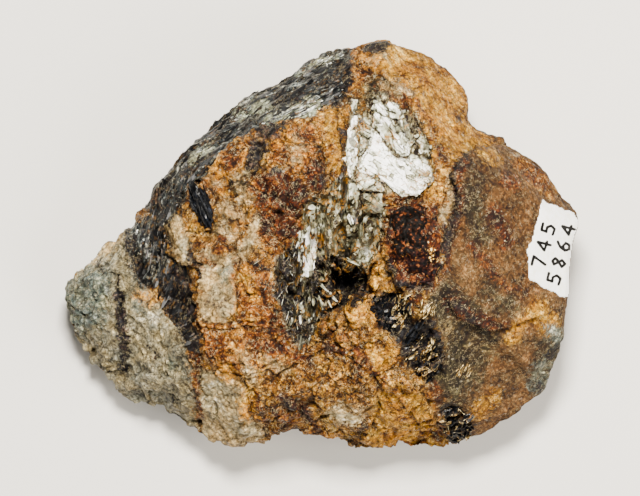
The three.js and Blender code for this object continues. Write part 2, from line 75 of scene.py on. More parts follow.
def grains(points, size, seed):
    # blocky grains: each has a random value and a tilted flat top, and the last result is the way to its edge
    scaled = points / size
    home = np.floor(scaled)
    nearest = np.full(len(points), 9.0)
    second = np.full(len(points), 9.0)
    owner = home.copy()
    ownerPoint = home.copy()
    for shift in np.ndindex(3, 3, 3):
        corner = home + np.array(shift) - 1
        jitter = np.stack([cornerValue(corner, seed + k) for k in range(3)], axis=1)
        seedPoint = corner + 0.5 + 0.4 * jitter
        distance = np.linalg.norm(scaled - seedPoint, axis=1)
        closer = distance < nearest
        second = np.where(closer, nearest, np.minimum(second, distance))
        nearest = np.where(closer, distance, nearest)
        owner[closer] = corner[closer]
        ownerPoint[closer] = seedPoint[closer]
    tilt = np.stack([cornerValue(owner, seed + 5 + k) for k in range(3)], axis=1)
    height = np.sum(tilt * (scaled - ownerPoint), axis=1)
    return cornerValue(owner, seed + 9), height, second - nearest


def ledges(points, direction, spacing, seed):
    # small scarps, as cleavage leaves: each rises over a spacing and falls back at a wandering straight lip
    travel = points @ np.array(direction) / spacing + 1.1 * facets(points, 7, seed)
    travel += 0.3 * facets(points, 2.2, seed + 1)
    share = travel - np.floor(travel)
    return share * smoothStep(1, 0.86, share) - 0.4


def smoothStep(low, high, value):
    share = np.clip((value - low) / (high - low), 0, 1)
    return share * share * (3 - 2 * share)


# Plan shapes

def pathDistance(path, x, y, closed=False):
    # distance to a path, the side it lies on (left is +1) and how far along it, all in mm
    corners = list(path) + ([path[0]] if closed else [])
    nearest = np.full(len(x), 1e9)
    side = np.ones(len(x))
    along = np.zeros(len(x))
    before = 0
    for i in range(max(1, len(corners) - 1)):
        ax, ay = corners[i]
        bx, by = corners[min(i + 1, len(corners) - 1)]
        length = max(math.hypot(bx - ax, by - ay), 1e-6)
        share = np.clip(((x - ax) * (bx - ax) + (y - ay) * (by - ay)) / length ** 2, 0, 1)
        distance = np.hypot(x - ax - share * (bx - ax), y - ay - share * (by - ay))
        closer = distance < nearest
        nearest = np.where(closer, distance, nearest)
        side = np.where(closer, np.sign((bx - ax) * (y - ay) - (by - ay) * (x - ax)), side)
        along = np.where(closer, before + share * length, along)
        before += length
    return nearest, side, along


def depthIn(shape, x, y):
    # how deep a point lies in a shape, in mm, negative outside: an outline (0), or a line or dot of a radius
    radius, points = shape
    if radius:
        return radius - pathDistance(points, x, y)[0]
    nearest = pathDistance(points, x, y, closed=True)[0]
    inside = np.zeros(len(x), bool)
    for i, (ax, ay) in enumerate(points):
        bx, by = points[(i + 1) % len(points)]
        if ay == by:
            continue
        crosses = ((ay > y) != (by > y)) & (x < ax + (y - ay) * (bx - ax) / (by - ay))
        inside ^= crosses
    return np.where(inside, nearest, -nearest)


# Mesh helpers

def newPiece(name, mesh, body="root"):
    piece = bpy.data.objects.new(name, mesh)
    bpy.context.scene.collection.objects.link(piece)
    if body:
        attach(piece, body)
    return piece


def coordinates(mesh):
    points = np.empty(len(mesh.vertices) * 3)
    mesh.vertices.foreach_get("co", points)
    return points.reshape(-1, 3) / mm


def setCoordinates(mesh, points):
    mesh.vertices.foreach_set("co", (points * mm).ravel())
    mesh.update()


def vertexNormals(mesh):
    normals = np.empty(len(mesh.vertices) * 3)
    mesh.vertex_normals.foreach_get("vector", normals)
    return normals.reshape(-1, 3)


def setField(mesh, name, values):
    attribute = mesh.attributes.new(name, "FLOAT", "POINT")
    attribute.data.foreach_set("value", values.astype(np.float32))


def remeshed(source, voxel):
    # an even skin over closed blocks, merged into one body
    holder = bpy.data.objects.new("holder", source)
    bpy.context.scene.collection.objects.link(holder)
    remesh = holder.modifiers.new("remesh", "REMESH")
    remesh.mode = "VOXEL"
    remesh.voxel_size = voxel * mm
    remesh.use_smooth_shade = True
    shown = holder.evaluated_get(bpy.context.evaluated_depsgraph_get())
    mesh = bpy.data.meshes.new_from_object(shown)
    bpy.data.objects.remove(holder)
    return largestIsland(mesh)


def largestIsland(mesh):
    work = bmesh.new()
    work.from_mesh(mesh)
    unseen = set(work.verts)
    islands = []
    while unseen:
        stack = [unseen.pop()]
        island = set(stack)
        while stack:
            for edge in stack.pop().link_edges:
                for vert in edge.verts:
                    if vert in unseen:
                        unseen.discard(vert)
                        island.add(vert)
                        stack.append(vert)
        islands.append(island)
    keep = max(islands, key=len)
    bmesh.ops.delete(work, geom=[vert for vert in work.verts if vert not in keep], context="VERTS")
    work.to_mesh(mesh)
    work.free()
    mesh.update()
    return mesh


def edgeEnds(mesh):
    ends = np.empty(len(mesh.edges) * 2, int)
    mesh.edges.foreach_get("vertices", ends)
    return ends.reshape(-1, 2).T


def blurred(values, ends, rounds):
    # each value moves half way to the mean of its neighbours, some times over
    a, b = ends
    count = np.bincount(np.concatenate([a, b]), minlength=len(values))
    for _ in range(rounds):
        total = np.bincount(a, values[b], len(values)) + np.bincount(b, values[a], len(values))
        values = 0.5 * values + 0.5 * total / count
    return values


def relaxed(points, ends, rounds):
    # rounds off the corners of the coarse solid
    return np.stack([blurred(points[:, axis], ends, rounds) for axis in range(3)], axis=1)


def smoothShaded(mesh):
    mesh.polygons.foreach_set("use_smooth", np.ones(len(mesh.polygons), bool))


# Materials

def linear(hexColour):
    values = [int(hexColour[i:i + 2], 16) / 255 for i in (1, 3, 5)]
    return [v / 12.92 if v < 0.04045 else ((v + 0.055) / 1.055) ** 2.4 for v in values] + [1]


def newMaterial(name):
    material = bpy.data.materials.new(name)
    material.use_nodes = True
    tree = material.node_tree
    tree.nodes.clear()
    return material, tree


def addNode(tree, kind, settings):
    # "ramp" spreads colours evenly, a node or a socket is linked, and any other value is set: on the node
    # itself where it has such a setting, or else on its socket
    node = tree.nodes.new("ShaderNode" + kind)
    for key, value in settings.items():
        if key == "ramp":
            for _ in range(len(value) - len(node.color_ramp.elements)):
                node.color_ramp.elements.new(0.5)
            for i, colour in enumerate(value):
                node.color_ramp.elements[i].position = i / (len(value) - 1)
                node.color_ramp.elements[i].color = linear(colour)
        elif isinstance(value, bpy.types.Node):
            tree.links.new(value.outputs[0], node.inputs[key])
        elif isinstance(value, bpy.types.NodeSocket):
            tree.links.new(value, node.inputs[key])
        elif isinstance(key, str) and hasattr(node, key):
            setattr(node, key, value)
        else:
            node.inputs[key].default_value = value
    return node


def perMm(size):
    # texture scale for a pattern of a real size in mm
    return 1 / (size * mm)


def threePatterns(tree, kind, settings):
    # the channels of a texture's colour, which don't follow each other
    texture = addNode(tree, kind, settings)
    return addNode(tree, "SeparateColor", {0: texture.outputs["Color"]}).outputs


def weighted(tree, total, parts):
    # a total with some sources added to it, each by its weight
    for source, weight in parts:
        total = addNode(tree, "Math", {"operation": "MULTIPLY_ADD", 0: source, 1: weight, 2: total})
    return total


def winding(tree, source, inner, outer, most):
    # a thin line, which winds where a noise crosses its middle
    away = addNode(tree, "Math", {"operation": "SUBTRACT", 0: source, 1: 0.5})
    away = addNode(tree, "Math", {"operation": "ABSOLUTE", 0: away})
    return addNode(tree, "MapRange", {"From Min": inner, "From Max": outer, "To Min": most, "To Max": 0,
                                      "Value": away})


def gritty(tree, place, colour, strength):
    # crumbs, each some powers of two lighter or darker than the next, as a fresh break sparkles
    crumb = threePatterns(tree, "TexVoronoi", {"Scale": perMm(0.46), "Vector": place})[0]
    stops = addNode(tree, "MapRange", {"To Min": -strength, "To Max": strength, "Value": crumb})
    factor = addNode(tree, "Math", {"operation": "POWER", 0: 2, 1: stops})
    return addNode(tree, "VectorMath", {"operation": "SCALE", 0: colour, "Scale": factor})


# The stone

stone = {
    "voxel": 0.3,
    "relax": 8,
    "fillDrop": 0.8,  # how far the stone lies under the crystals' own tops
    "fillGrow": 0.5,
    "baseClear": 2.5,  # height over which the relief fades in above the resting patch
    "pit": ((3.6, -7.1), 5.7, 5),  # place, radius and drop of the hollow between the mica sheets
    "shadeRounds": 14,  # how far the hollows that are darkened as painted shade reach
    # blocky grains, as size, seed, step, tip, crevice and the share that calm faces lose
    "grains": [(5.2, 21, 0.45, 0.6, 0.25, 0.75), (2.4, 11, 0.1, 0.3, 0.08, 0.8),
               (1.15, 31, 0.02, 0.1, 0, 0.5)],
    # ledges of cleavage, as height, direction, spacing and seed
    "ledges": [(0.55, (0.9, 0.25, 0.2), 4.2, 111), (0.45, (0.3, -0.9, 0.3), 3.4, 121),
               (0.14, (0.62, 0.78, 0), 3.4, 131)],
    "leafSize": (6.5, 1.05, 1.5),
    "flakeSize": (0.95, 2.1, 1.6),
}
# the yellow four-sided face at the lower edge
rhomb = [(11.2, -30.4), (15.8, -30), (19.6, -35.6), (16, -36.8), (12.6, -34)]

# What the stone shows where, as outlines (0), or lines and dots of a radius.
stains = {
    "tongue": [
        (0, [(-54.2, -10), (-46.6, -3.2), (-44.8, -0.6), (-40.6, 2.6), (-38.4, 3.8), (-38, 0), (-37.4, -4),
             (-36.2, -7.6), (-33.4, -10), (-31, -13.2), (-28.2, -16.8), (-26.6, -20.4), (-26, -24),
             (-25.4, -30.8), (-25, -41), (-33.4, -37), (-38.2, -35), (-41.4, -32), (-47.2, -26.6),
             (-53, -20.4)]),
    ],
    "pale": [
        (1.3, [(-46, -2.6), (-42.6, 0.6), (-38.8, 3)]),
        (0, [(-32.2, 8.6), (-29.8, 8.6), (-27.2, 3.2), (-25.2, -3.2), (-27.2, -3.4), (-29.8, -0.8),
             (-31.6, 3.6)]),
        (0, [(-24.6, -2.8), (-23, 0.4), (-19.8, -2.4), (-16.8, -1.8), (-17, -4.4), (-16.8, -13.2),
             (-19, -15.2), (-23.2, -15.2), (-24.4, -10.8)]),
        (0, [(-12.6, 6.4), (-11.8, 4), (-12.8, 0.4), (-15.4, -2.8), (-18.6, -3.4), (-15.6, 0.6), (-14, 4)]),
        (0, [(-24.6, -24), (-22.4, -24.6), (-18.4, -25.8), (-15, -28.4), (-14.2, -31.6), (-13.4, -35),
             (-11, -37.4), (-13, -43), (-19, -44), (-24.6, -42), (-24.4, -30.8)]),
        # painted highlight: a pale stroke along the peak
        (0.9, [(9.8, 37.4), (12.4, 37.4)]),
        (0.6, [(-31.2, 13.4), (-27.8, 18.8)]),
        (0.45, [(24.4, 7), (25, 4.6)]),
        (1.1, [(2.4, -33.4), (7.4, -34.2)]),
        (0.5, [(38.4, 19.4), (41.4, 18.2)]),
        (0.5, [(-15.8, 14.2), (-14.2, 14.6)]),
        (0.6, [(-20.2, 17.4), (-18.8, 19.6)]),
        (0.8, [(-35.4, 8.2), (-33.6, 6)]),
        (0.4, [(-32.2, 2), (-31.8, -1.8)]),
    ],
    "grey": [
        (0, [(-53.4, -10.8), (-46.6, -4.4), (-42.8, -5), (-41.8, -10.8), (-43.4, -15.4), (-47.4, -18),
             (-51.4, -16.8)]),
        (1.1, [(-19.2, -5.4)]),
        (0.8, [(-30.2, -22.6), (-29.8, -24.4)]),
        (0.7, [(-35.2, -9.4), (-36.6, -12.2)]),
        (0.9, [(46.2, -17), (48.8, -19.6)]),
        (0.9, [(44.2, -24), (43.4, -28.4)]),
        (0.7, [(12.8, 29.6), (14.4, 31.4)]),
    ],
    "ochre": [
        (0, rhomb),
        (0, [(7.2, 37.8), (9, 43), (17, 42.6), (23, 39.6), (29, 33), (32, 27.6), (31.6, 25.4), (35.8, 21.2),
             (29.2, 19.2), (26.2, 15.8), (24, 12.4), (22.2, 19.4), (19.4, 25.8), (15.8, 31.2), (12, 34.6)]),
        (0, [(0.4, 26.8), (2.8, 28.4), (5.8, 27.6), (6, 24), (4.6, 22.4), (4.2, 14.4), (1.4, 16.4),
             (0.6, 21.4)]),
        (0, [(11.4, -27.6), (15.2, -29.8), (18.6, -32.8), (20.6, -35.4), (19.6, -37), (13.6, -36.8),
             (10, -35.6), (10.8, -31)]),
        (0.9, [(-22.6, 12.8), (-17.6, 10)]),
        (1.4, [(-9.4, 20.4), (-6.8, 21.6)]),
        (0, [(16.2, -26.2), (20.2, -29.6), (23.4, -36.2), (20.6, -36.4), (18, -32), (15.4, -29.4),
             (12.4, -27.6)]),
        (0, [(10, -37.4), (25.8, -37.4), (27, -43), (10, -43)]),
        (2.2, [(6.4, -12.2), (7.8, -13.4)]),
        (1.6, [(13.4, -2.8), (11.6, -5.6), (9.4, -8.8)]),
        (1.6, [(14, -20.8), (10.6, -24.8)]),
        (1.5, [(-20, -34.4), (-15, -36.2)]),
        (1.4, [(-23.4, -25.6), (-20.4, -30)]),
        (1.1, [(-18.4, -27), (-16, -31.4)]),
        (0.9, [(-44.6, -27.6), (-40.4, -31)]),
        (1.6, [(-30.4, -28.2), (-28.4, -31.4)]),
        (2.2, [(43.2, -12.4), (45.4, -15.4)]),
        (1.6, [(39.8, -15.4), (38.2, -18.2)]),
        (1.6, [(34.4, -29.8), (31.4, -33)]),
        (1.2, [(30.4, 19.4), (34.6, 17)]),
    ],
    "orange": [
        (0, [(-17, -3.2), (-13.4, -2.4), (-11.6, -4), (-8.6, -8), (-7.8, -13), (-4.2, -17.8), (-12.4, -16.8),
             (-16.8, -15)]),
        (0, [(-11.8, 2.8), (-7.2, 4.2), (-4.6, 0.6), (-8.2, -3.2), (-11.4, -3)]),
        (0, [(-24.6, -15.6), (-12, -15.4), (-5, -16.4), (-1, -21.4), (-8, -25), (-14, -26), (-19, -24.8),
             (-22.6, -22.4), (-24, -19)]),
        (0, [(-10.4, 22.8), (-4.2, 24.8), (0.6, 27.4), (0.8, 21.6), (-0.6, 15), (-6.2, 15.2), (-9.8, 17.2)]),
        (1.5, [(-20.6, 13.4), (-17.4, 17), (-15.2, 19.4)]),
        (0, [(6.4, 36), (10.6, 35.8), (9.4, 33.4), (8.4, 31.4), (6.2, 32)]),
        (0.9, [(5, 38.2), (8.4, 38.2)]),
        (0.9, [(-6.8, 32.6), (0.4, 35.2)]),
        (0.9, [(-24.2, 1.2), (-21.8, -4)]),
        (0, [(21.8, 12.2), (24.8, 13.4), (25.6, 8.4), (23.8, 6.6)]),
        (0.8, [(12.4, 9.2), (11.8, 3.6), (12.2, -1.8)]),
        (0.5, [(21.4, 1.8), (22.6, -0.6)]),
        (0.45, [(-36.2, -10), (-33.4, -10.4)]),
        (0.5, [(-25.6, -6), (-25.2, -14)]),
        (0.9, [(22, -29.4), (23.4, -30.6)]),
        (1.1, [(19.6, -23.4), (20.4, -24.6)]),
        (1.2, [(1.8, -16.4), (5, -17.6)]),
        (1.2, [(40, 17), (46, 11.6)]),
    ],
    "rust": [
        (0, [(-13.8, 14.2), (-9.2, 15.6), (-4.2, 13.6), (-2, 10.2), (-4.2, 6.2), (-3.6, 2.4), (-7.2, 1.2),
             (-11.6, 2.8), (-12.6, 8.2), (-14.4, 11.2)]),
        (0, [(-3.6, 16.4), (-0.8, 16.8), (1.8, 12.6), (0.6, 10.8), (-3, 10.8)]),
        (0.5, [(-25.4, -20.6), (-24.8, -27), (-24.6, -34.8)]),
        (0.9, [(-10.6, -4.8), (-11.4, -9.8), (-9.8, -14.8)]),
        (0.5, [(-22.4, -15.8), (-13, -15.6), (-8, -16.8), (-3, -18.6)]),
        (0, [(12.8, 8.6), (15.8, 9.8), (20.4, 9.4), (23.6, 7.2), (24, 1.8), (24, -5), (22.4, -8), (18, -9.6),
             (14, -7.4), (12.8, 2)]),
        (1.1, [(27.4, 15.6), (26.8, 12.6), (27.4, 8.8), (26.6, 5), (24.8, 0.8), (24.2, -4)]),
        (1.3, [(36.8, 13.2), (38.6, 12.4)]),
        (1.4, [(34.6, 6.8), (35.4, 4.4)]),
        (0.6, [(31.4, -1.6), (36.2, -7.6), (40.4, -9.6)]),
        (1.1, [(36.6, 2.8), (36.8, 0.8)]),
        (0.8, [(30, 0.4), (33.2, -3.6)]),
        (0, [(24.6, -10.4), (26, -9.8), (30.6, -13.2), (37.4, -15.4), (33.8, -17.2), (28.2, -15),
             (25, -12.6)]),
        (0.7, [(41.2, 14.4), (44.8, 12)]),
        (0.9, [(15.6, 30.4), (16.8, 29.4)]),
        (0.9, [(23.8, 19.6), (24.2, 18.2)]),
        (0.5, [(18.6, 29), (21.4, 24.8), (22.8, 20.6)]),
        (0.9, [(24.6, -33.4), (23.8, -38.2)]),
        (0.7, [(22.6, -28.2), (23.6, -29.6)]),
        (0.8, [(-13.2, -30), (-11.6, -35)]),
        (1.3, [(-7.8, -30), (-5.8, -31.6)]),
        (1, [(-9.6, -32.4), (-6.8, -35)]),
        (1.1, [(-4, -33), (-0.8, -36)]),
        (1, [(-12.6, -19.4), (-10.4, -20.6)]),
        (0.8, [(1.6, -20.2), (7.2, -20.8), (12, -26.4)]),
        (0.7, [(-19.4, 14.4), (-16.4, 17)]),
        (0.9, [(-3.6, 21.8), (-1.8, 22.8)]),
        (0.8, [(-8.6, -20.2), (-2, -23)]),
        (0.6, [(-19.4, 1.6), (-20.6, -1.6)]),
        (0.7, [(17.2, -12.6), (19, -9.8)]),
        (0.5, [(13.2, -36.6), (20, -37)]),
        (0.8, [(12.4, 31.4), (16.8, 27.4)]),
    ],
    "brown": [
        (0, [(26.6, 16.2), (33.8, 20.4), (40, 21), (48.2, 14.8), (55.4, 6.6), (54.4, -10.4), (52, -19.2),
             (48, -32.2), (36.8, -38.8), (28, -43), (25.8, -34.8), (20.8, -27.8), (24.4, -20), (21.8, -10.8),
             (23.6, -4.8), (25, 3.2), (27.4, 9), (26, 14)]),
    ],
    "olive": [
        (0, [(20.2, -8.4), (25.8, -6.8), (31.8, -11.8), (35.8, -18.8), (31.8, -26.8), (25.8, -32.8),
             (22.8, -28), (24.4, -18.8), (19.8, -12.8)]),
        (0, [(45.6, -17), (52, -15), (50.6, -22), (47.4, -31.6), (42, -28.4), (43.6, -21)]),
        (0, [(9.2, 34.4), (13.4, 33.6), (15.6, 29.8), (13, 26.6), (8.2, 27.8), (7.8, 31)]),
        (2.2, [(29.8, 12.4), (30.2, 6.4), (31.4, 2.4)]),
        (1.6, [(33.6, -8.6), (37.4, -12.2)]),
        (2.6, [(-15.8, 11.4)]),
        (1.8, [(-18.8, 7.2), (-20.2, 2.6)]),
    ],
    "schist": [
        (0, [(-36.2, 9.6), (-33.2, 16), (-28.2, 22), (-21.8, 28.2), (-12.8, 33.2), (-5.2, 37.4), (-0.8, 40.4),
             (5.8, 41.2), (6.2, 37.2), (4.8, 29.2), (1.8, 27.8), (-2.2, 25.8), (-8.2, 24.4), (-11.8, 24),
             (-16.2, 21.4), (-19.8, 18.2), (-23.2, 14.2), (-25.4, 12.6), (-28, 9.4), (-31, 8)]),
        (0, [(-39.2, 4), (-34.2, 6.4), (-31.2, 4.8), (-30, -1.8), (-31.2, -6.8), (-34.2, -8.8), (-36.6, -7.8),
             (-38.2, -2.8)]),
        (0, [(-35.6, 9.4), (-31, 10), (-26.4, 12.8), (-26.8, 9.4), (-29.8, 5.2), (-31.2, 4), (-33.8, 5)]),
    ],
    "mica": [
        (0, [(0.2, 9.6), (2.6, 12.6), (5.2, 14.6), (5.6, 29.4), (7.6, 30), (7.4, 15), (11.8, 10.6), (13, 7.6),
             (12, 1.6), (11, -2.4), (8.8, -6.6), (5.6, -10.4), (1.2, -13.6), (-2, -19.4), (-5.2, -19.6),
             (-7.6, -13.6), (-9.4, -8.4), (-8.4, -2.4), (-4.6, 0.4), (-3.4, 4.2), (-3.4, 8.2)]),
        (0, [(8, 27.2), (12, 29.8), (19, 26), (22, 19.6), (22, 13), (17, 9.8), (9, 10.6), (6.6, 14)]),
    ],
    "black": [
        (1.5, [(-12.6, 20.4), (-13.8, 15.8)]),
        (0.3, [(-44.6, -2.6), (-44, -5.4)]),
        (0.3, [(-46.2, -8), (-45.4, -9.8)]),
        (0.3, [(-34.4, -20.2), (-33.2, -22.6)]),
        (0.3, [(-30.6, -29.8), (-29.8, -31.2)]),
        (0, [(-33, -7.6), (-29.6, -3.6), (-26.4, -2.8), (-25.8, -6.4), (-26.2, -10), (-26, -14.4),
             (-23.8, -20), (-24.4, -21.8), (-27, -20.4), (-29.2, -15.8), (-32, -11)]),
        (0.5, [(-26.2, 0.4), (-25, -2.4), (-24, -6.6)]),
        (0.45, [(-40.6, -6.2), (-40.4, -10.2)]),
        (1.15, [(-40.2, -9.6), (-39.9, -16)]),
        (0.95, [(-39.9, -16), (-39.6, -20.8)]),
        (0.75, [(-39.4, -21.6), (-39.8, -25.6)]),
        (0.6, [(-37.6, 1.6), (-37.4, -2.6)]),
        (0.9, [(-37.2, -2.6), (-35.8, -6.4)]),
        (0.5, [(-33, 10), (-31.8, 6.2), (-30.2, 4.2)]),
        (0.5, [(-29.2, 11), (-27.8, 5.8)]),
        (0.3, [(-30.4, 2.4), (-29.8, -0.8)]),
        (0, [(-14.2, 23.4), (-9.8, 24.4), (-6.4, 24.2), (-6.8, 22.4), (-9.4, 21.2), (-12, 21.4)]),
        (0, [(-12.6, 21.6), (-10.6, 20.8), (-11.6, 15.2), (-14.2, 14.6), (-14.8, 16.8)]),
        (0, [(2.2, 37.6), (6.6, 36.6), (6.6, 31.8), (5.2, 29), (2.8, 26.6), (1.4, 30), (2.2, 33)]),
        (0.7, [(0.4, 29.4), (3.6, 27.8)]),
        (0, [(7.4, 39.4), (9, 43), (13.2, 43), (14, 39.6), (12.4, 38.2), (8.4, 38.6)]),
        (0.7, [(-5.8, 29), (-3.6, 30.2)]),
        (0.6, [(-19.4, 24), (-15, 26.8)]),
        (0.5, [(-27, 14.6), (-23.4, 17)]),
        (0.5, [(-22.8, 19.6), (-18.6, 23)]),
        (0.5, [(-9, 29), (-6.6, 30.4)]),
        (1, [(-33.6, 9.8), (-31.8, 11.8)]),
        (0.8, [(-9.8, 14.6), (-8.4, 15)]),
        (0.6, [(-17.7, 12.8), (-17.8, 11.6)]),
        (0.8, [(-8.8, -4.6), (-7.4, -7.6)]),
        (0.8, [(-6.8, -9.6), (-4.6, -14.6)]),
        # the hollow between the mica sheets, painted black over its walls as painted shade
        (4.8, [(2.8, -6), (4.6, -7.9)]),
        (1, [(-0.2, -13.8), (0.8, -13.4)]),
        (0.8, [(13.6, -2.6), (14.6, -7), (19.8, -8.2), (22.6, -5.6)]),
        (0, [(23.4, -31.4), (27, -31.6), (28.6, -35), (30.6, -35.2), (29.6, -39.4), (26, -39.8),
             (24.2, -36)]),
        (0.55, [(33, 19.6), (29.4, 18.4), (27.4, 16)]),
        (0.6, [(27.4, 16), (26.2, 14), (26.8, 11.2), (27.2, 8.8), (26.4, 5.2), (25, 3.2), (24.2, -0.4),
               (23.4, -4.8)]),
        (0, [(9.8, -9.8), (14, -9), (18, -12), (18.6, -14.8), (22, -13.6), (24.4, -19), (24.6, -24),
             (22, -27), (17.4, -25), (15.8, -20), (14, -18.4), (11, -15.4)]),
        (0.5, [(-13.4, -3.6), (-9, -4.6)]),
        (0.45, [(-11.2, -7.6), (-8.6, -8.8)]),
        (0.4, [(-9.8, -12.8), (-7, -13)]),
        (0, [(-8.8, -2.6), (-5.4, 0.6), (-1, -1.4), (1, -6), (0.6, -11), (-0.6, -15), (-2.6, -19.4),
             (-5.2, -19.8), (-7.4, -14.4), (-9.6, -9.4)]),
        (0.7, [(43.4, -27.6), (44, -28.8)]),
        (0.7, [(47, -20.4), (45.8, -22.2)]),
        (0.35, [(27.6, 26.8), (28, 25.4)]),
        (0.3, [(3.8, 25.4), (4.6, 20.6), (4.4, 14.4)]),
        (0.35, [(-1.2, 20.4), (-0.2, 14.4), (1.6, 10.8)]),
        (0.5, [(-7.4, -30.4), (-6.2, -31.8)]),
        (0.5, [(26, -11.2), (30, -14.4)]),
        (0.4, [(-33.4, -21), (-32.6, -22)]),
    ],
    "cream": [
        (1, [(-20, 8.4), (-16.6, 5.4)]),
        (0.8, [(-19.4, 3.4), (-16.6, 1.8)]),
        (0.7, [(-22.4, 13.8), (-20, 13)]),
        (0.8, [(-16.8, 12.2), (-15.4, 9.6)]),
        (1.1, [(-15.4, -21.4), (-13.6, -26.6)]),
        (0.6, [(-10.6, -22.4), (-7.4, -24.6)]),
        (0.9, [(-5.8, 20.6), (-4, 18.6), (-4.4, 17)]),
        # painted highlights: pale strokes along the ridge left of the zircon and the crest between the zircon
        # and the slab
        (0.35, [(12.8, -3.6), (11, -6.6)]),
        (0.5, [(26.2, 14.4), (25.8, 9.2), (24.8, 5)]),
        (0.8, [(-20.4, -24.8), (-17.6, -27.4)]),
        (0.7, [(3.4, -31.4), (9.4, -32.6)]),
        (0.6, [(-13.8, 0.4), (-15.2, -2.2)]),
        (0.6, [(13.4, 31.4), (17.2, 29.8)]),
        (0.5, [(-20.6, 8.4), (-18.4, 6.8)]),
    ],
    "amber": [
        (1.2, [(-8.6, 22.8), (-6.6, 21)]),
        (0.8, [(8.4, 38.2), (11.6, 37)]),
        (0.8, [(-20.8, 16.2), (-19, 13.4)]),
        # the four-sided face, its own yellow made lighter as painted light, for it leans away from the lamp
        (0, rhomb),
        (1.6, [(6.2, -11.8), (7.6, -13.6)]),
        # painted highlight: a bright stroke along the ridge left of the zircon
        (1.1, [(13.2, -3), (9.8, -8.6)]),
        (0.6, [(-36, -9.6), (-33.6, -11.2)]),
        (1, [(-20.4, -24.2), (-17.4, -26)]),
        (0.9, [(-15.6, -29.4), (-13.6, -33.8)]),
        (0.7, [(13, -37.2), (17.4, -38.2)]),
        (0.9, [(-14.6, -4.6), (-14.2, -9.4)]),
        (0.6, [(9.6, -20), (11.8, -22.6)]),
        (0.7, [(20.4, 15.4), (22.4, 10.6)]),
    ],
    "silver": [
        (0, [(-6.4, 27.4), (-2.2, 29.4), (1.2, 30.2), (1.2, 27.8), (-1.2, 26), (-5.4, 25.8)]),
        (0.7, [(-25.6, 17), (-22.2, 19.8)]),
        (0.7, [(-16, 26), (-10.4, 28.4)]),
        (0.8, [(-5.4, 35.6), (2.2, 38)]),
        (0.6, [(-10.6, 25.4), (-7, 26)]),
    ],
}
throughGoing = ("tongue", "grey", "schist", "brown")
# stains of the back, in patches a centimetre or two across, as name, seed and how bare they leave it
backStains = [("ochre", 80, 0.1), ("orange", 81, 0.2), ("rust", 82, 0.32), ("black", 83, 0.5),
              ("pale", 84, 0.25)]
# the line that the leaves of the schist follow
foliation = [(-37.5, -12), (-33, -8.4), (-30.8, -3.6), (-30.4, 2), (-29, 8), (-25, 14.5), (-17, 21), (-8, 26),
             (2, 31.5), (12, 38)]

# Steps in the break: the left side of each line stands up by a height that dies out over a reach.
steps = [
    {"line": [(36, 20.4), (31, 19), (27.6, 16.4), (26.2, 14), (27.1, 10), (26.4, 5.2), (24.6, 1), (23.4, -5)],
     "height": 0.9, "reach": 2.2},
    {"line": [(25, -37.4), (20, -37), (13, -36.8), (9.6, -35.6)], "height": -0.8, "reach": 1.6},
    {"line": [(20.4, -36.4), (18, -32.6), (15.2, -29.8), (11.6, -28)], "height": -0.6, "reach": 1.4},
    {"line": [(23.8, -36.4), (20.4, -29.8), (16.2, -25.8), (12.2, -27.4)], "height": 0.6, "reach": 1.6},
    {"line": [(24.4, -10.6), (28, -14.8), (33.6, -17), (38, -15.6), (46, -13)], "height": 0.7, "reach": 1.6},
    {"line": [(-26.2, 10), (-23, 13.6), (-19.6, 18), (-16, 21.4), (-11.6, 23.8), (-4, 25.2), (2, 27.8),
              (5, 29)], "height": -0.8, "reach": 1.8},
    {"line": [(-16.6, -1), (-16.9, -5), (-16.8, -13), (-19, -15.4)], "height": -0.5, "reach": 1.4},
    {"line": [(-26.4, 3), (-25.6, -2), (-24.2, -7), (-24.6, -13), (-22.8, -19), (-24.2, -30)], "height": 0.8,
     "reach": 2},
    {"line": [(-38.4, 4), (-38, -1), (-36.8, -6), (-33.6, -9.6), (-30.8, -13.4), (-26.8, -20)],
     "height": -0.7, "reach": 1.8},
    {"line": [(-0.9, 21), (0.2, 15), (1.8, 11)], "height": -0.6, "reach": 1.6},
    {"line": [(4.2, 27), (4.8, 20), (4.4, 13.6)], "height": -0.5, "reach": 1.2},
    {"line": [(6.4, 36.6), (12, 36.4), (15, 34), (18, 35)], "height": 0.4, "reach": 1.2},
    {"line": [(23.2, 12), (21.6, 20), (18.8, 26), (15.4, 31), (11, 35)], "height": -0.6, "reach": 2},
    {"line": [(-8, -16.4), (-14, -15.8), (-20, -16.6), (-24, -15.6)], "height": -0.4, "reach": 1.4},
    {"line": [(0.8, -20.2), (6.4, -21.8), (13.4, -28.4)], "height": 0.5, "reach": 1.4},
    {"line": [(-10, -26), (-4, -23), (2, -19.6)], "height": 0.4, "reach": 1.6},
    {"line": [(-14, -37), (-14.2, -32), (-15.4, -28), (-22, -24.6)], "height": 0.4, "reach": 1.6},
    {"line": [(-34, -34), (-31, -26), (-33, -18), (-31.6, -12)], "height": 0.35, "reach": 1.6},
]
# Open cracks, as half width, depth and line.
cracks = [
    (0.35, 0.9, [(3.6, 26.4), (4.5, 20.6), (4.3, 14.2)]),
    (0.3, 0.8, [(-1.2, 20.6), (-0.2, 14.6), (1.6, 11)]),
    (0.35, 0.8, [(-26.2, 0.4), (-25, -2.4), (-24, -6.6)]),
    (0.3, 0.6, [(-24.6, -3.4), (-22, -4.4), (-19.8, -2.8), (-16.6, -1.6)]),
    (0.3, 0.7, [(5.8, -20.8), (10.4, -25), (12, -29.6)]),
    (0.3, 0.5, [(-20.6, -15.8), (-12.6, -15.2), (-7.4, -16.6), (-2, -19)]),
    (0.3, 0.8, [(10.6, -36.6), (20, -36.8), (25, -37)]),
    (0.3, 0.5, [(24.6, -10.4), (28.2, -14.8), (33.8, -17)]),
    (0.3, 0.6, [(11.2, -28), (11.6, -33), (10.4, -36)]),
    (0.3, 0.5, [(-15, -28.6), (-14, -33), (-12.6, -37)]),
]
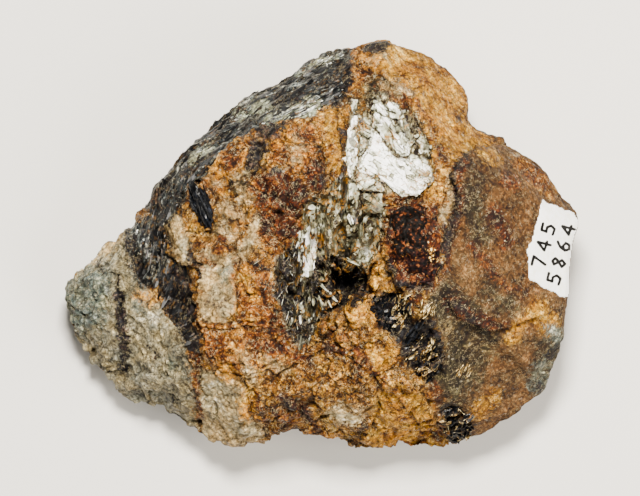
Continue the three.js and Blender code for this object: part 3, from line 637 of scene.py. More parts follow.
# Domes and pits, as place, radius and height.
domes = [
    ((-19.2, -5.4), 1.5, 1),
    ((-21.6, -1.6), 2, 0.6),
    ((-15.8, 11.4), 2.8, 0.8),
    ((7, -12.8), 3.2, 1.5),
    ((12.6, -4.6), 1.6, 1),
    ((10.6, -7.4), 1.4, 0.9),
    ((19.8, -24), 1.5, 1),
    ((22.8, -30), 1.6, 0.7),
    ((0.4, -13.8), 1.3, -1.2),
    ((-8.2, -6.2), 1.8, -0.8),
    ((12.6, -13), 2, -0.9),
    ((2.6, 25.4), 2.2, 0.8),
    ((-2.4, 17), 2.2, 0.5),
]


# where the label was painted, which filled the roughness
paintPatch = [(44.2, 9.2), (46.4, 8.4), (50.2, 6.8), (52.6, 4.6), (51.9, 0.2), (51.2, -3.2), (50, -10.6),
              (47.8, -10), (45.4, -8.8), (41.6, -6.8), (41.2, -0.8), (42.2, 2.2), (43.6, 6.8)]


def stoneBlocks():
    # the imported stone, with the crystals' pockets filled so that it closes round what has grown in it
    work = bmesh.new()
    for name, node in nodes.items():
        if name == "catalogue_label":
            continue
        before = len(work.verts)
        work.from_mesh(node.data)
        if name == "matrix":
            continue
        work.verts.ensure_lookup_table()
        mine = work.verts[before:]
        middle = sum((vert.co for vert in mine), Vector()) / len(mine)
        for vert in mine:
            outward = Vector((vert.co.x - middle.x, vert.co.y - middle.y, 0)).normalized()
            vert.co += outward * stone["fillGrow"] * mm
            vert.co.z -= stone["fillDrop"] * mm
    bmesh.ops.remove_doubles(work, verts=work.verts, dist=0.001 * mm)
    mesh = bpy.data.meshes.new("blocks")
    work.to_mesh(mesh)
    work.free()
    return mesh


def stainFields(points, facing):
    # one field per stain, in mm from its frayed edge, positive inside
    drift = np.stack([facets(points, 2.6, 71) + 0.6 * facets(points, 1.1, 73),
                      facets(points, 2.6, 72) + 0.6 * facets(points, 1.1, 74)], axis=1)
    x, y = (points[:, :2] + 0.45 * drift).T
    fields = {}
    for name, shapes in stains.items():
        field = np.full(len(points), -6.0)
        for shape in shapes:
            field = np.maximum(field, depthIn(shape, x, y))
        if name not in throughGoing:
            field = field - 7 * (1 - facing)
        fields[name] = field
    back = 1 - facing
    for name, seed, cover in backStains:
        patch = 5 * (facets(points, 13, seed) + 0.4 * facets(points, 5, seed + 10) - cover) - 8 * (1 - back)
        fields[name] = np.maximum(fields[name], patch)
    return {name: np.clip(field, -4, 4) for name, field in fields.items()}


def stoneRelief(points, fields, across, along):
    # outward relief in mm
    x, y = points[:, 0], points[:, 1]
    schist = smoothStep(-0.6, 0.6, fields["schist"])
    brown = smoothStep(-1, 1, fields["brown"])
    mica = smoothStep(-0.6, 0.6, fields["mica"])
    ochre = np.maximum.reduce([depthIn(shape, x, y) for shape in stains["ochre"][:2]])
    calm = np.maximum(brown, smoothStep(-1, 1, ochre)) * (1 - schist)
    pale = smoothStep(-1, 1, np.maximum.reduce([fields["pale"], fields["grey"], fields["tongue"]]))
    rocky = (1 - 0.85 * schist) * (1 - 0.8 * mica) * (1 - 0.2 * pale)

    strayed = points + 0.7 * np.stack([facets(points, 2.4, seed) for seed in (41, 42, 43)], axis=1)
    relief = (0.7 * facets(points, 8.5, 1) + 0.6 * facets(points, 4, 2)) * (1 - 0.4 * calm)
    relief += 0.4 * pale * facets(points, 2.9, 7)
    for i, (size, seed, step, tip, crevice, rest) in enumerate(stone["grains"]):
        value, top, edge = grains(strayed, size, seed)
        if i == 0:
            # the largest are the blocks that the material draws joints between
            fields["block"], fields["joint"] = value, np.clip(edge, 0, 0.3)
        rise = step * value + tip * top - crevice * smoothStep(0.1, 0, edge)
        relief += rise * (1 - rest * calm) * rocky
    small = 0.32 * facets(points, 1.9, 4) + 0.15 * facets(points, 0.85, 5)
    relief += small * (1 - 0.5 * np.maximum(calm, pale))

    places = (rocky * (1 - 0.8 * calm), rocky * (1 - 0.6 * calm), calm)
    for (height, direction, spacing, seed), here in zip(stone["ledges"], places):
        relief += height * ledges(points, direction, spacing, seed) * here

    # schist splits into long leaves, and mica into upright flakes
    leaf = np.stack([along, across, points[:, 2]], axis=1) / stone["leafSize"]
    value, top, edge = grains(leaf, 1, 51)
    relief += schist * (0.4 * value + 0.45 * top - 0.25 * smoothStep(0.16, 0, edge))
    flake = np.stack([x + 0.15 * y, y, points[:, 2]], axis=1) / stone["flakeSize"]
    value, top, edge = grains(flake, 1, 61)
    relief += mica * (0.32 * value + 0.6 * top - 0.35 * smoothStep(0.2, 0, edge))

    for step in steps:
        distance, side, travel = pathDistance(step["line"], x, y)
        total = sum(math.dist(a, b) for a, b in zip(step["line"], step["line"][1:]))
        ends = smoothStep(0, 0.12, travel / total) * smoothStep(1, 0.88, travel / total)
        relief += step["height"] * side * np.exp(-distance / step["reach"]) * ends
    for halfWidth, depth, line in cracks:
        distance = pathDistance(line, x, y)[0]
        relief -= depth * np.exp(-(distance / halfWidth) ** 2)
    for (cx, cy), radius, height in domes:
        relief += height * smoothStep(1, 0.25, np.hypot(x - cx, y - cy) / radius)
    return relief * (1 - 0.8 * smoothStep(-1, 0.6, depthIn((0, paintPatch), x, y)))


def buildStone():
    mesh = remeshed(stoneBlocks(), stone["voxel"])
    ends = edgeEnds(mesh)
    points = relaxed(coordinates(mesh), ends, stone["relax"])
    setCoordinates(mesh, points)
    normals = vertexNormals(mesh)
    facing = smoothStep(-0.15, 0.3, normals[:, 2])
    fields = stainFields(points, facing)
    distance, side, along = pathDistance(foliation, points[:, 0], points[:, 1])
    across = distance * side
    relief = stoneRelief(points, fields, across, along)
    lifted = smoothStep(0.05, stone["baseClear"], points[:, 2])
    moved = points + normals * (relief * lifted)[:, None]
    (cx, cy), radius, drop = stone["pit"]
    fromPit = np.hypot(points[:, 0] - cx, points[:, 1] - cy) / radius
    moved[:, 2] -= drop * smoothStep(1, 0.35, fromPit) * facing
    moved[:, 2] = np.maximum(moved[:, 2], 0)
    setCoordinates(mesh, moved)
    fields["across"] = across
    fields["along"] = along
    fields["hollow"] = np.clip(1.2 * (blurred(relief, ends, stone["shadeRounds"]) - relief), -1, 1)

    # four pieces with the same normals along their seams, because the mesh is large
    normals = vertexNormals(mesh)
    corners = np.empty(len(mesh.loops), int)
    mesh.loops.foreach_get("vertex_index", corners)
    corners = corners.reshape(-1, 4)
    middleX = moved[corners, 0].mean(axis=1)
    seams = [-math.inf, *np.quantile(middleX, [0.25, 0.5, 0.75]), math.inf]
    pieces = []
    names = ("stone_tip", "stone_left", "stone_middle", "stone_right")
    for name, low, high in zip(names, seams, seams[1:]):
        chosen = (middleX >= low) & (middleX < high)
        used, local = np.unique(corners[chosen], return_inverse=True)
        part = bpy.data.meshes.new(name)
        part.from_pydata(moved[used] * mm, [], local.reshape(-1, 4).tolist())
        smoothShaded(part)
        part.normals_split_custom_set_from_vertices(normals[used])
        for field, values in fields.items():
            setField(part, field, values[used])
        piece = newPiece(name, part)
        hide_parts("matrix")
        pieces.append(piece)
        print(name, len(part.polygons), "faces")
    skin = BVHTree.FromPolygons([Vector(point) for point in moved * mm], corners.tolist())
    return pieces, skin


# Broken pegmatite: feldspar, quartz and iron staining in grains of under a millimetre, which gives a busy,
# mostly dull surface with a few glints. Each layer runs from its darkest to its lightest grain.
stoneLook = {
    "base": {"ramp": ["#180c06", "#50300c", "#885e1a", "#b88830", "#eecb80"], "cool": (1, 1, 0.9),
             "warm": (0.88, 0.7, 0.55)},
    "layers": {
        "brown": {"ramp": ["#100805", "#2c1c0d", "#483218", "#604424", "#8c6e46"], "grain": "streak",
                  "fray": 1.6, "edge": 0.9, "rough": 0.85, "tilt": 0.05, "busy": 0.35,
                  "cool": (0.96, 0.98, 0.98), "warm": (1, 0.84, 0.68)},
        "olive": {"ramp": ["#060504", "#16120a", "#292213", "#3e3522", "#82724c"], "grain": "powder",
                  "fray": 2.2, "edge": 1.3, "rough": 0.8, "tilt": 0.1, "busy": 0.6, "cool": (0.92, 1, 0.98),
                  "warm": (1.04, 0.9, 0.74)},
        "ochre": {"ramp": ["#2c1806", "#6a420a", "#94680f", "#b88624", "#e2bf6c"], "grain": "powder",
                  "fray": 1.0, "edge": 0.5, "rough": 0.85, "tilt": 0.12, "busy": 0.7, "cool": (1, 1, 0.95),
                  "warm": (1, 0.84, 0.62)},
        "tongue": {"ramp": ["#28251c", "#665f4c", "#8a8269", "#aaa289", "#e6e1ce"], "grain": "grain",
                   "fray": 1.2, "edge": 0.5, "rough": 0.6, "tilt": 0.22, "busy": 0.75,
                   "cool": (0.84, 0.93, 1.02), "warm": (1.1, 0.98, 0.7)},
        "pale": {"ramp": ["#34291c", "#7c6a4a", "#a8946c", "#cbb98f", "#f8f0de"], "grain": "grain",
                 "fray": 0.9, "edge": 0.4, "rough": 0.6, "tilt": 0.22, "busy": 0.5,
                 "cool": (0.86, 0.92, 0.96), "warm": (1.1, 0.94, 0.68)},
        "grey": {"ramp": ["#14181a", "#3a423e", "#5c645a", "#888e80", "#eceede"], "grain": "grain",
                 "fray": 2.0, "edge": 1.2, "rough": 0.5, "tilt": 0.25, "busy": 0.7, "cool": (0.8, 0.9, 1),
                 "warm": (1.1, 1.02, 0.78)},
        "orange": {"ramp": ["#140804", "#4a2408", "#7c4a10", "#a66e1e", "#e4ba64"], "grain": "powder",
                   "fray": 2.0, "edge": 0.9, "rough": 0.85, "tilt": 0.15, "busy": 1, "cool": (1, 1, 0.9),
                   "warm": (0.92, 0.74, 0.56)},
        "rust": {"ramp": ["#060303", "#1c0a04", "#421b06", "#724010", "#b47a2c"], "grain": "powder",
                 "fray": 1.4, "edge": 0.6, "rough": 0.7, "tilt": 0.2, "busy": 0.9, "cool": (1, 0.96, 0.9),
                 "warm": (0.96, 0.74, 0.6)},
        "cream": {"ramp": ["#3a2410", "#8a6838", "#b89a66", "#dac298", "#fbf0d6"], "grain": "grain",
                  "fray": 1.8, "edge": 0.8, "rough": 0.6, "tilt": 0.24, "busy": 0.8,
                  "cool": (0.94, 0.96, 0.96), "warm": (1.02, 0.92, 0.74)},
        "amber": {"ramp": ["#3a1c04", "#8a580a", "#b67a12", "#d49c2c", "#f2ca72"], "grain": "powder",
                  "fray": 1.8, "edge": 0.9, "rough": 0.8, "tilt": 0.12, "busy": 0.8, "cool": (1, 1, 0.9),
                  "warm": (0.98, 0.86, 0.6)},
        "schist": {"ramp": ["#020304", "#090b0e", "#191d1e", "#4a4e4a", "#b0b2a6"], "grain": "leaf",
                   "fray": 0.8, "edge": 0.4, "rough": 0.4, "tilt": 0.2, "busy": 0.4,
                   "cool": (0.9, 0.97, 1.06), "warm": (1.04, 0.94, 0.8)},
        "mica": {"ramp": ["#060403", "#1c150d", "#403824", "#7a7254", "#dcd9bc"], "grain": "flake",
                 "fray": 1.0, "edge": 0.5, "rough": 0.35, "tilt": 0.5, "busy": 0.8, "cool": (0.94, 0.99, 1),
                 "warm": (1.04, 0.92, 0.74)},
        "silver": {"ramp": ["#20241f", "#5c6050", "#8c9078", "#b6b9a0", "#f0f1dc"], "grain": "leaf",
                   "fray": 0.9, "edge": 0.5, "rough": 0.3, "tilt": 0.2, "busy": 0.6, "cool": (0.92, 0.98, 1),
                   "warm": (1.02, 0.98, 0.86)},
        "black": {"ramp": ["#000001", "#030304", "#08080a", "#161316", "#5c4c3a"], "grain": "grain",
                  "fray": 0.7, "edge": 0.4, "rough": 0.6, "tilt": 0.3, "busy": 0.4, "cool": (0.9, 0.95, 1.15),
                  "warm": (1.1, 0.94, 0.9)},
    },
}


def stoneMaterial():
    material, tree = newMaterial("pegmatite, freshly broken and iron stained")
    place = addNode(tree, "TexCoord", {}).outputs["Object"]
    noises = [addNode(tree, "TexNoise", {"Scale": perMm(size), "Detail": detail, "Roughness": 0.66,
                                         "Distortion": 0.4, "Vector": place}).outputs["Color"]
              for size, detail in ((6.5, 3), (2.8, 5), (1.1, 5), (0.6, 3))]
    crystals, coarse = (addNode(tree, "TexVoronoi", {"Scale": perMm(size), "Vector": place}).outputs["Color"]
                        for size in (0.45, 1.2))
    # the three channels of a colour don't follow each other
    broad, wide, mid, fine, crystal = (addNode(tree, "SeparateColor", {0: colour}).outputs
                                       for colour in (*noises, crystals))
    fields = {name: addNode(tree, "Attribute", {"attribute_name": name}).outputs["Fac"]
              for name in (*stoneLook["layers"], "across", "along", "block", "joint", "hollow")}

    # leaves of the schist are drawn out along its foliation, and streaks of the slab run down to the right
    leafPlace = addNode(tree, "CombineXYZ", {0: fields["across"], 1: fields["along"]})
    leafScaled = addNode(tree, "VectorMath", {"operation": "MULTIPLY", 0: leafPlace,
                                              1: (1 / 0.5, 1 / 4.5, 1)})
    leaf = addNode(tree, "TexNoise", {"Scale": 1, "Detail": 5, "Roughness": 0.62, "Distortion": 0.3,
                                      "Vector": leafScaled})
    streakPlace = addNode(tree, "Mapping", {"vector_type": "TEXTURE", "Rotation": (0, 0, math.radians(-52)),
                                            "Scale": (3.4 * mm, 0.55 * mm, 0.8 * mm), "Vector": place})
    streak = threePatterns(tree, "TexNoise", {"Scale": 1, "Detail": 4, "Vector": streakPlace})
    # each block of the break has fibres of cleavage that run their own way
    turned = addNode(tree, "Math", {"operation": "MULTIPLY", 0: fields["block"], 1: 3})
    fibrePlace = addNode(tree, "VectorRotate", {"Axis": (0.2, 0.1, 1), "Vector": place, "Angle": turned})
    fibreScaled = addNode(tree, "VectorMath", {"operation": "MULTIPLY", 0: fibrePlace,
                                               1: (perMm(0.8), perMm(4.5), perMm(2))})
    fibre = threePatterns(tree, "TexNoise", {"Scale": 1, "Detail": 3, "Roughness": 0.6, "Distortion": 0.2,
                                             "Vector": fibreScaled})
    flakePlace = addNode(tree, "Mapping", {"Scale": (perMm(0.5), perMm(1.2), perMm(0.9)), "Vector": place})
    flake = threePatterns(tree, "TexVoronoi", {"Scale": 1, "Vector": flakePlace})
    # sources with their weights, and the half range that is spread over the ramp
    blends = {
        "powder": (((broad[0], 0.25), (wide[0], 0.2), (mid[0], 0.15), (fibre[0], 0.2), (fine[1], 0.2)), 0.08),
        "grain": (((broad[2], 0.25), (wide[1], 0.2), (mid[1], 0.2), (fibre[1], 0.1), (fine[0], 0.25)), 0.085),
        "leaf": (((leaf, 0.5), (mid[2], 0.15), (fine[2], 0.35)), 0.12),
        "streak": (((streak[0], 0.2), (broad[2], 0.3), (wide[1], 0.2), (fine[2], 0.3)), 0.1),
        "flake": (((flake[0], 0.4), (mid[0], 0.3), (fine[0], 0.3)), 0.22),
    }
    shares = {name: addNode(tree, "MapRange", {"From Min": 0.5 - spread, "From Max": 0.5 + spread,
                                               "Value": weighted(tree, 0, sources)})
              for name, (sources, spread) in blends.items()}

    # the iron staining wanders between yellow and red, and the clean feldspar between bluish and cream
    wander = addNode(tree, "Mix", {"data_type": "FLOAT", 0: 0.5, 2: broad[1], 3: wide[1]})
    warmth = addNode(tree, "MapRange", {"From Min": 0.43, "From Max": 0.57, "Value": wander})

    def tinted(look, share):
        own = addNode(tree, "ValToRGB", {"ramp": look["ramp"], 0: share})
        tint = addNode(tree, "Mix", {"data_type": "RGBA", 0: warmth, 6: (*look["cool"], 1),
                                     7: (*look["warm"], 1)}).outputs[2]
        return addNode(tree, "VectorMath", {"operation": "MULTIPLY", 0: own, 1: tint})

    colour = tinted(stoneLook["base"], shares["powder"])
    finish = {
        "rough": addNode(tree, "MapRange", {"To Min": 0.65, "To Max": 0.95, "Value": crystal[1]}),
        "tilt": addNode(tree, "MapRange", {"To Min": 0.1, "To Max": 0.25, "Value": wide[2]}),
        "busy": 1,
    }
    for i, (name, layer) in enumerate(stoneLook["layers"].items()):
        frayNoise = mid[i % 3] if i % 2 else wide[i % 3]
        frayed = weighted(tree, fields[name], ((frayNoise, 4 * layer["fray"]), (fine[i % 3], 3)))
        middle = 2 * layer["fray"] + 1.5  # what the noises add on average
        mask = addNode(tree, "MapRange", {"From Min": middle - layer["edge"],
                                          "From Max": middle + layer["edge"], "Value": frayed})
        own = tinted(layer, shares[layer["grain"]])
        colour = addNode(tree, "Mix", {"data_type": "RGBA", 0: mask, 6: colour, 7: own}).outputs[2]
        for key, value in finish.items():
            finish[key] = addNode(tree, "Mix", {"data_type": "FLOAT", 0: mask, 2: value, 3: layer[key]})
    rough, tilt, busy = finish.values()

    # the hollows are darkened as painted shade, and the ridges are made lighter
    shadeDepth = weighted(tree, fields["hollow"], ((fine[2], 0.9),))
    shade = addNode(tree, "MapRange", {"From Min": 0.15, "From Max": 0.9, "To Min": 1.2, "To Max": 0.3,
                                       "Value": shadeDepth})
    shade = addNode(tree, "Mix", {"data_type": "FLOAT", 0: busy, 2: 1.02, 3: shade})
    colour = addNode(tree, "VectorMath", {"operation": "SCALE", 0: colour, "Scale": shade})
    colour = gritty(tree, place, colour, 0.5)

    # marks over these colours, as how much, where and what colour, and first thin seams, dark or pale
    marks = []
    for source, width, most, markColour in ((wide[0], 0.016, 0.85, "#120806"), (mid[2], 0.02, 0.7, "#1e0e08"),
                                            (wide[2], 0.006, 0.5, "#fbe3ac")):
        marks.append((winding(tree, source, 0.4 * width, width, most), busy, markColour))
    # specks of a dark mineral, pale specks that are painted glints, and a few crystals that gleam, lightened
    # as a painted highlight
    for source, start, most, markColour in ((fine[0], 0.61, 0.85, "#140d10"), (fine[2], 0.66, 0.5, "#fbe8b8"),
                                            (crystal[1], 0.98, 0.4, "#fff2cc")):
        speck = addNode(tree, "MapRange", {"From Min": start, "From Max": start + 0.04, "To Max": most,
                                           "Value": source})
        marks.append((speck, busy, markColour))
    # fibres open here and there, and the slab is scratched along its streaks
    rugged = addNode(tree, "MapRange", {"From Min": 0.5, "From Max": 0.6, "To Max": 0.7, "Value": wide[1]})
    rugged = addNode(tree, "Math", {"operation": "MULTIPLY", 0: rugged, 1: busy})
    scratched = addNode(tree, "MapRange", {"From Min": -1, "From Max": 1, "To Max": 0.35,
                                           "Value": fields["brown"]})
    for source, width, where in ((fibre[1], 0.035, rugged), (streak[1], 0.018, scratched)):
        line = addNode(tree, "Math", {"operation": "COMPARE", 0: source, 1: 0.5, 2: width})
        marks.append((line, where, "#160a05"))
    # dark cracks run between the grains and the blocks, in some places and not in others
    strayed = addNode(tree, "VectorMath", {"operation": "MULTIPLY_ADD", 0: noises[2],
                                           1: (0.9 * mm, 0.9 * mm, 0.9 * mm), 2: place})
    grainEdge, crumbEdge = (addNode(tree, "TexVoronoi", {"feature": "DISTANCE_TO_EDGE", "Scale": perMm(size),
                                                         "Vector": strayed}).outputs["Distance"]
                            for size in (2.3, 1))
    for gap, inner, outer, most, source, start, end in (
            (grainEdge, 0.015, 0.05, 0.9, wide[0], 0.47, 0.56),
            (crumbEdge, 0.021, 0.07, 0.9, wide[2], 0.47, 0.56),
            (fields["joint"], 0.01, 0.06, 0.85, wide[1], 0.44, 0.54)):
        crack = addNode(tree, "MapRange", {"From Min": inner, "From Max": outer, "To Min": most, "To Max": 0,
                                           "Value": gap})
        where = addNode(tree, "MapRange", {"From Min": start, "From Max": end, "Value": source})
        where = addNode(tree, "Math", {"operation": "MULTIPLY", 0: where, 1: busy})
        marks.append((crack, where, "#140804"))
    for mark, where, markColour in marks:
        share = addNode(tree, "Math", {"operation": "MULTIPLY", 0: mark, 1: where})
        colour = addNode(tree, "Mix", {"data_type": "RGBA", 0: share, 6: colour,
                                       7: linear(markColour)}).outputs[2]

    # every crystal breaks at its own angle, so the shading changes from grain to grain, and a few are bright
    normal = addNode(tree, "NewGeometry", {}).outputs["Normal"]
    for source in (coarse, crystals):
        centred = addNode(tree, "VectorMath", {"operation": "SUBTRACT", 0: source, 1: (0.5, 0.5, 0.5)})
        leaned = addNode(tree, "VectorMath", {"operation": "SCALE", 0: centred, "Scale": tilt})
        normal = addNode(tree, "VectorMath", {"operation": "ADD", 0: normal, 1: leaned})
    normal = addNode(tree, "VectorMath", {"operation": "NORMALIZE", 0: normal})
    height = weighted(tree, mid[1], ((crystal[2], 0.35), (fine[1], 0.5), (fibre[0], 0.5)))
    bump = addNode(tree, "Bump", {"Distance": 0.34 * mm, "Strength": busy, "Height": height,
                                  "Normal": normal})
    polished = addNode(tree, "MapRange", {"From Min": 0.95, "From Max": 0.96, "To Max": 0.7,
                                          "Value": crystal[1]})
    rough = addNode(tree, "Mix", {"data_type": "FLOAT", 0: polished, 2: rough, 3: 0.2})
    shader = addNode(tree, "BsdfPrincipled", {"IOR": 1.53, "Specular IOR Level": 0.14, "Base Color": colour,
                                              "Roughness": rough, "Normal": bump})
    addNode(tree, "OutputMaterial", {"Surface": shader})
    return material


stonePieces, skin = buildStone()
stoneSkin = stoneMaterial()
for stonePiece in stonePieces:
    stonePiece.data.materials.append(stoneSkin)


def surfaceAt(x, y):
    # the stone's own height and normal, in mm
    hit, normal, _, _ = skin.ray_cast(Vector((x * mm, y * mm, 0.1)), Vector((0, 0, -1)))
    return (hit.z / mm, normal) if hit else (0, Vector((0, 0, 1)))


# Mica sheets

random = np.random.default_rng(417)


def newSheets():
    work = bmesh.new()
    layers = [work.verts.layers.float.new(name) for name in ("tone", "across", "along", "core")]
    return work, layers


def plate(sheets, tone, place, normal, along, outline, thickness, bend=0, rim=0.13):
    # one cleaved sheet: an outline (along, across) in its own plane, given a thickness and a slight bend,
    # with a narrow band inside its upper edge where "core" goes from 0 to 1
    work, layers = sheets
    normal = Vector(normal).normalized()
    along = Vector(along)
    along = (along - normal * along.dot(normal)).normalized()
    across = normal.cross(along)
    middleU, middleV = (sum(values) / len(outline) for values in zip(*outline))
    rings = []
    for lift, inset, core in ((thickness / 2, rim, 1), (thickness / 2, 0, 0), (-thickness / 2, 0, 0)):
        ring = []
        for u, v in outline:
            share = max(0.3, 1 - inset / max(math.hypot(u - middleU, v - middleV), 1e-6))
            u, v = middleU + (u - middleU) * share, middleV + (v - middleV) * share
            point = Vector(place) + along * u + across * v + normal * (lift + bend * u * v)
            vert = work.verts.new(point * mm)
            for layer, value in zip(layers, (tone, v, u, core)):
                vert[layer] = value
            ring.append(vert)
        rings.append(ring)
    inner, upper, lower = rings
    work.faces.new(inner)
    work.faces.new(lower[::-1])
    for first, second in ((upper, inner), (lower, upper)):
        for i in range(len(outline)):
            j = (i + 1) % len(outline)
            work.faces.new((first[i], first[j], second[j], second[i]))


def closedSheet(work, layers, inside, columns, upper, lower, values):
    # a closed sheet over the cells of a grid whose corners all lie inside, from upper and lower points in mm
    pairs = {}
    for i in np.nonzero(inside)[0]:
        pairs[i] = work.verts.new(Vector(upper[i]) * mm), work.verts.new(Vector(lower[i]) * mm)
        for layer, value in zip(layers, values):
            pairs[i][0][layer] = pairs[i][1][layer] = value[i]
    edges = set()
    for i in pairs:
        corners = (i, i + 1, i + columns + 1, i + columns)
        if (i + 1) % columns == 0 or any(k not in pairs for k in corners):
            continue
        work.faces.new([pairs[k][0] for k in corners])
        work.faces.new([pairs[k][1] for k in corners[::-1]])
        for a, b in zip(corners, corners[1:] + corners[:1]):
            if (b, a) in edges:
                edges.discard((b, a))
            else:
                edges.add((a, b))
    for a, b in sorted(edges):
        work.faces.new((pairs[b][0], pairs[a][0], pairs[a][1], pairs[b][1]))
    for pair in pairs.values():
        for vert in pair:
            if not vert.link_faces:
                work.verts.remove(vert)


def planGrid(outline, cell, margin=0.6):
    xs, ys = zip(*outline)
    gridX = np.arange(min(xs) - margin, max(xs) + margin, cell)
    gridY = np.arange(min(ys) - margin, max(ys) + margin, cell)
    x, y = (grid.ravel() for grid in np.meshgrid(gridX, gridY))
    return x, y, len(gridX)


foils = {"cell": 0.2, "thickness": 0.06, "rim": 0.2, "crack": 0.1}


def foil(sheets, outline, height, tone, turn, shard, relief, seed, shade, hole=None):
    # cleaved mica that has cracked into shards which still lie together: each is a little higher or lower and
    # lighter or darker than the next, and "core" falls to 0 along their cracks and at the frayed edge
    work, layers = sheets
    x, y, columns = planGrid(outline, foils["cell"])
    flat = np.stack([x, y, np.full(len(x), 7.3 * seed)], axis=1)
    turn = math.radians(turn)
    along = x * math.cos(turn) + y * math.sin(turn)
    across = y * math.cos(turn) - x * math.sin(turn)
    depth = depthIn((0, outline), x, y) + 0.3 * facets(flat, 1.3, seed) + 0.15 * facets(flat, 0.5, seed + 1)
    if hole:
        fromHole = np.hypot(x - hole[0], y - hole[1]) - hole[2]
        depth = np.minimum(depth, fromHole + 0.5 * facets(flat, 1.6, seed + 6))
    stray = 0.35 * facets(flat, 1.2, seed + 2)
    cells = np.stack([along / shard[0] + stray, across / shard[1] + stray, flat[:, 2]], axis=1)
    value, top, edge = grains(cells, 1, seed + 3)
    z = height(x, y) + relief * (0.4 * value + 0.9 * top + 0.35 * facets(flat, 0.9, seed + 4))
    core = np.clip(np.minimum(depth / foils["rim"], edge / foils["crack"]), 0, 1)
    tones = tone + shade * (value + 0.5 * facets(flat, 2.2, seed + 5))
    upper = np.stack([x, y, z], axis=1)
    lower = upper - [0, 0, foils["thickness"]]
    closedSheet(work, layers, depth > 0, columns, upper, lower, (tones, across, along, core))


def groundUnder(x, y, rounds=10):
    # the stone's height over the points of a grid, smoothed, where there is stone
    heights = np.array([surfaceAt(px, py)[0] for px, py in zip(x, y)])
    columns = int(np.argmax(np.diff(y) > 1e-9)) + 1
    grid = heights.reshape(-1, columns)
    there = (grid > 5).astype(float)
    for _ in range(rounds):
        total, count = grid * there, there.copy()
        for axis in (0, 1):
            for shift in (-1, 1):
                total += np.roll(grid * there, shift, axis)
                count += np.roll(there, shift, axis)
        grid = np.where(there > 0, total / np.maximum(count, 1), grid)
    return grid.ravel()


def torn(length, width, count=9):
    # a torn outline about the size of a rectangle
    outline = []
    for i in range(count):
        angle = 2 * math.pi * (i + random.uniform(-0.3, 0.3)) / count
        reach = random.uniform(0.72, 1.12)
        corner = max(abs(math.cos(angle)), abs(math.sin(angle))) ** 0.8
        u = reach * length / 2 * math.cos(angle) / corner
        v = reach * width / 2 * math.sin(angle) / corner
        outline.append((u, v))
    return outline


def scattered(area, count, margin=0):
    # random places inside an outline
    xs, ys = zip(*area)
    places = []
    while len(places) < count:
        x, y = random.uniform(min(xs), max(xs)), random.uniform(min(ys), max(ys))
        if depthIn((0, area), np.array([x]), np.array([y]))[0] > margin:
            places.append((x, y))
    return places


def upright(sheets, x, y, turn, length, rise, lean, tone, thickness):
    # a sheet on edge, sunk a little in the stone, leaning over by some degrees
    height = surfaceAt(x, y)[0]
    turn, lean = math.radians(turn), math.radians(lean)
    normal = Vector((-math.sin(turn) * math.cos(lean), math.cos(turn) * math.cos(lean), math.sin(lean)))
    along = Vector((math.cos(turn), math.sin(turn), 0))
    if normal.cross(along).z < 0:
        along = -along
    steps = 7
    outline = [(length * (0.5 - i / (steps - 1)), rise * random.uniform(0.55, 1.1)) for i in range(steps)]
    outline += [(-length * 0.4, -1.1), (length * 0.4, -1.1)]
    plate(sheets, tone, (x, y, height), normal, along, outline, thickness, random.normal(0, 0.03))


def finishPlates(name, sheets, node, material):
    work, _ = sheets
    mesh = bpy.data.meshes.new(name)
    bmesh.ops.recalc_face_normals(work, faces=work.faces)
    bmesh.ops.triangulate(work, faces=work.faces)
    work.to_mesh(mesh)
    work.free()
    piece = newPiece(name, mesh)
    piece.data.materials.append(material)
    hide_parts(node)
    print(name, len(mesh.polygons), "faces")


def sheetPatterns(tree, lineGaps, lineSettings, cloudSettings):
    # what all sheets share: lines along each, which its tone shifts from those of the next, and a cloud
    place = addNode(tree, "TexCoord", {}).outputs["Object"]
    tone, across, along, core = (addNode(tree, "Attribute", {"attribute_name": name}).outputs["Fac"]
                                 for name in ("tone", "across", "along", "core"))
    linePlace = addNode(tree, "CombineXYZ", {0: across, 1: along, 2: tone})
    acrossGap, alongGap, shift = lineGaps
    lineScaled = addNode(tree, "VectorMath", {"operation": "MULTIPLY", 0: linePlace,
                                              1: (1 / acrossGap, 1 / alongGap, shift)})
    lines = addNode(tree, "TexNoise", {"Scale": 1, "Detail": 3, "Vector": lineScaled, **lineSettings})
    cloud = threePatterns(tree, "TexNoise", {"Vector": place, **cloudSettings})
    return place, tone, core, lines, cloud


# Leaves of mica schist that lie along the foliation like tiles, each tipped a little.
schistLeaves = {
    "count": 1500, "length": (1.2, 6.4), "width": (0.15, 0.8), "thickness": 0.07, "tip": 0.1,
    # shares of the leaves in the schist's outlines, and in the dark band beside the tongue
    "shares": (0.68, 0.16, 0.06, 0.1),
    "band": [(-33, -7), (-29.4, -3.4), (-26.4, -3), (-26.4, -10), (-24.4, -20), (-27, -20), (-31, -11.6)],
}
schistLook = {"ramp": ["#020203", "#08090c", "#16191b", "#444844", "#dcdfd6"], "ochre": "#5a4224"}


def patchTone(x, y, size, seed):
    # a slow change of tone over the stone, from about -1 to 1
    return float(facets(np.array([[x, y, 0]]), size, seed)[0])


def foliationTurn(x, y):
    nearest = min(range(len(foliation) - 1), key=lambda i: math.dist((x, y), [
        (a + b) / 2 for a, b in zip(foliation[i], foliation[i + 1])]))
    (ax, ay), (bx, by) = foliation[nearest:nearest + 2]
    return math.atan2(by - ay, bx - ax)


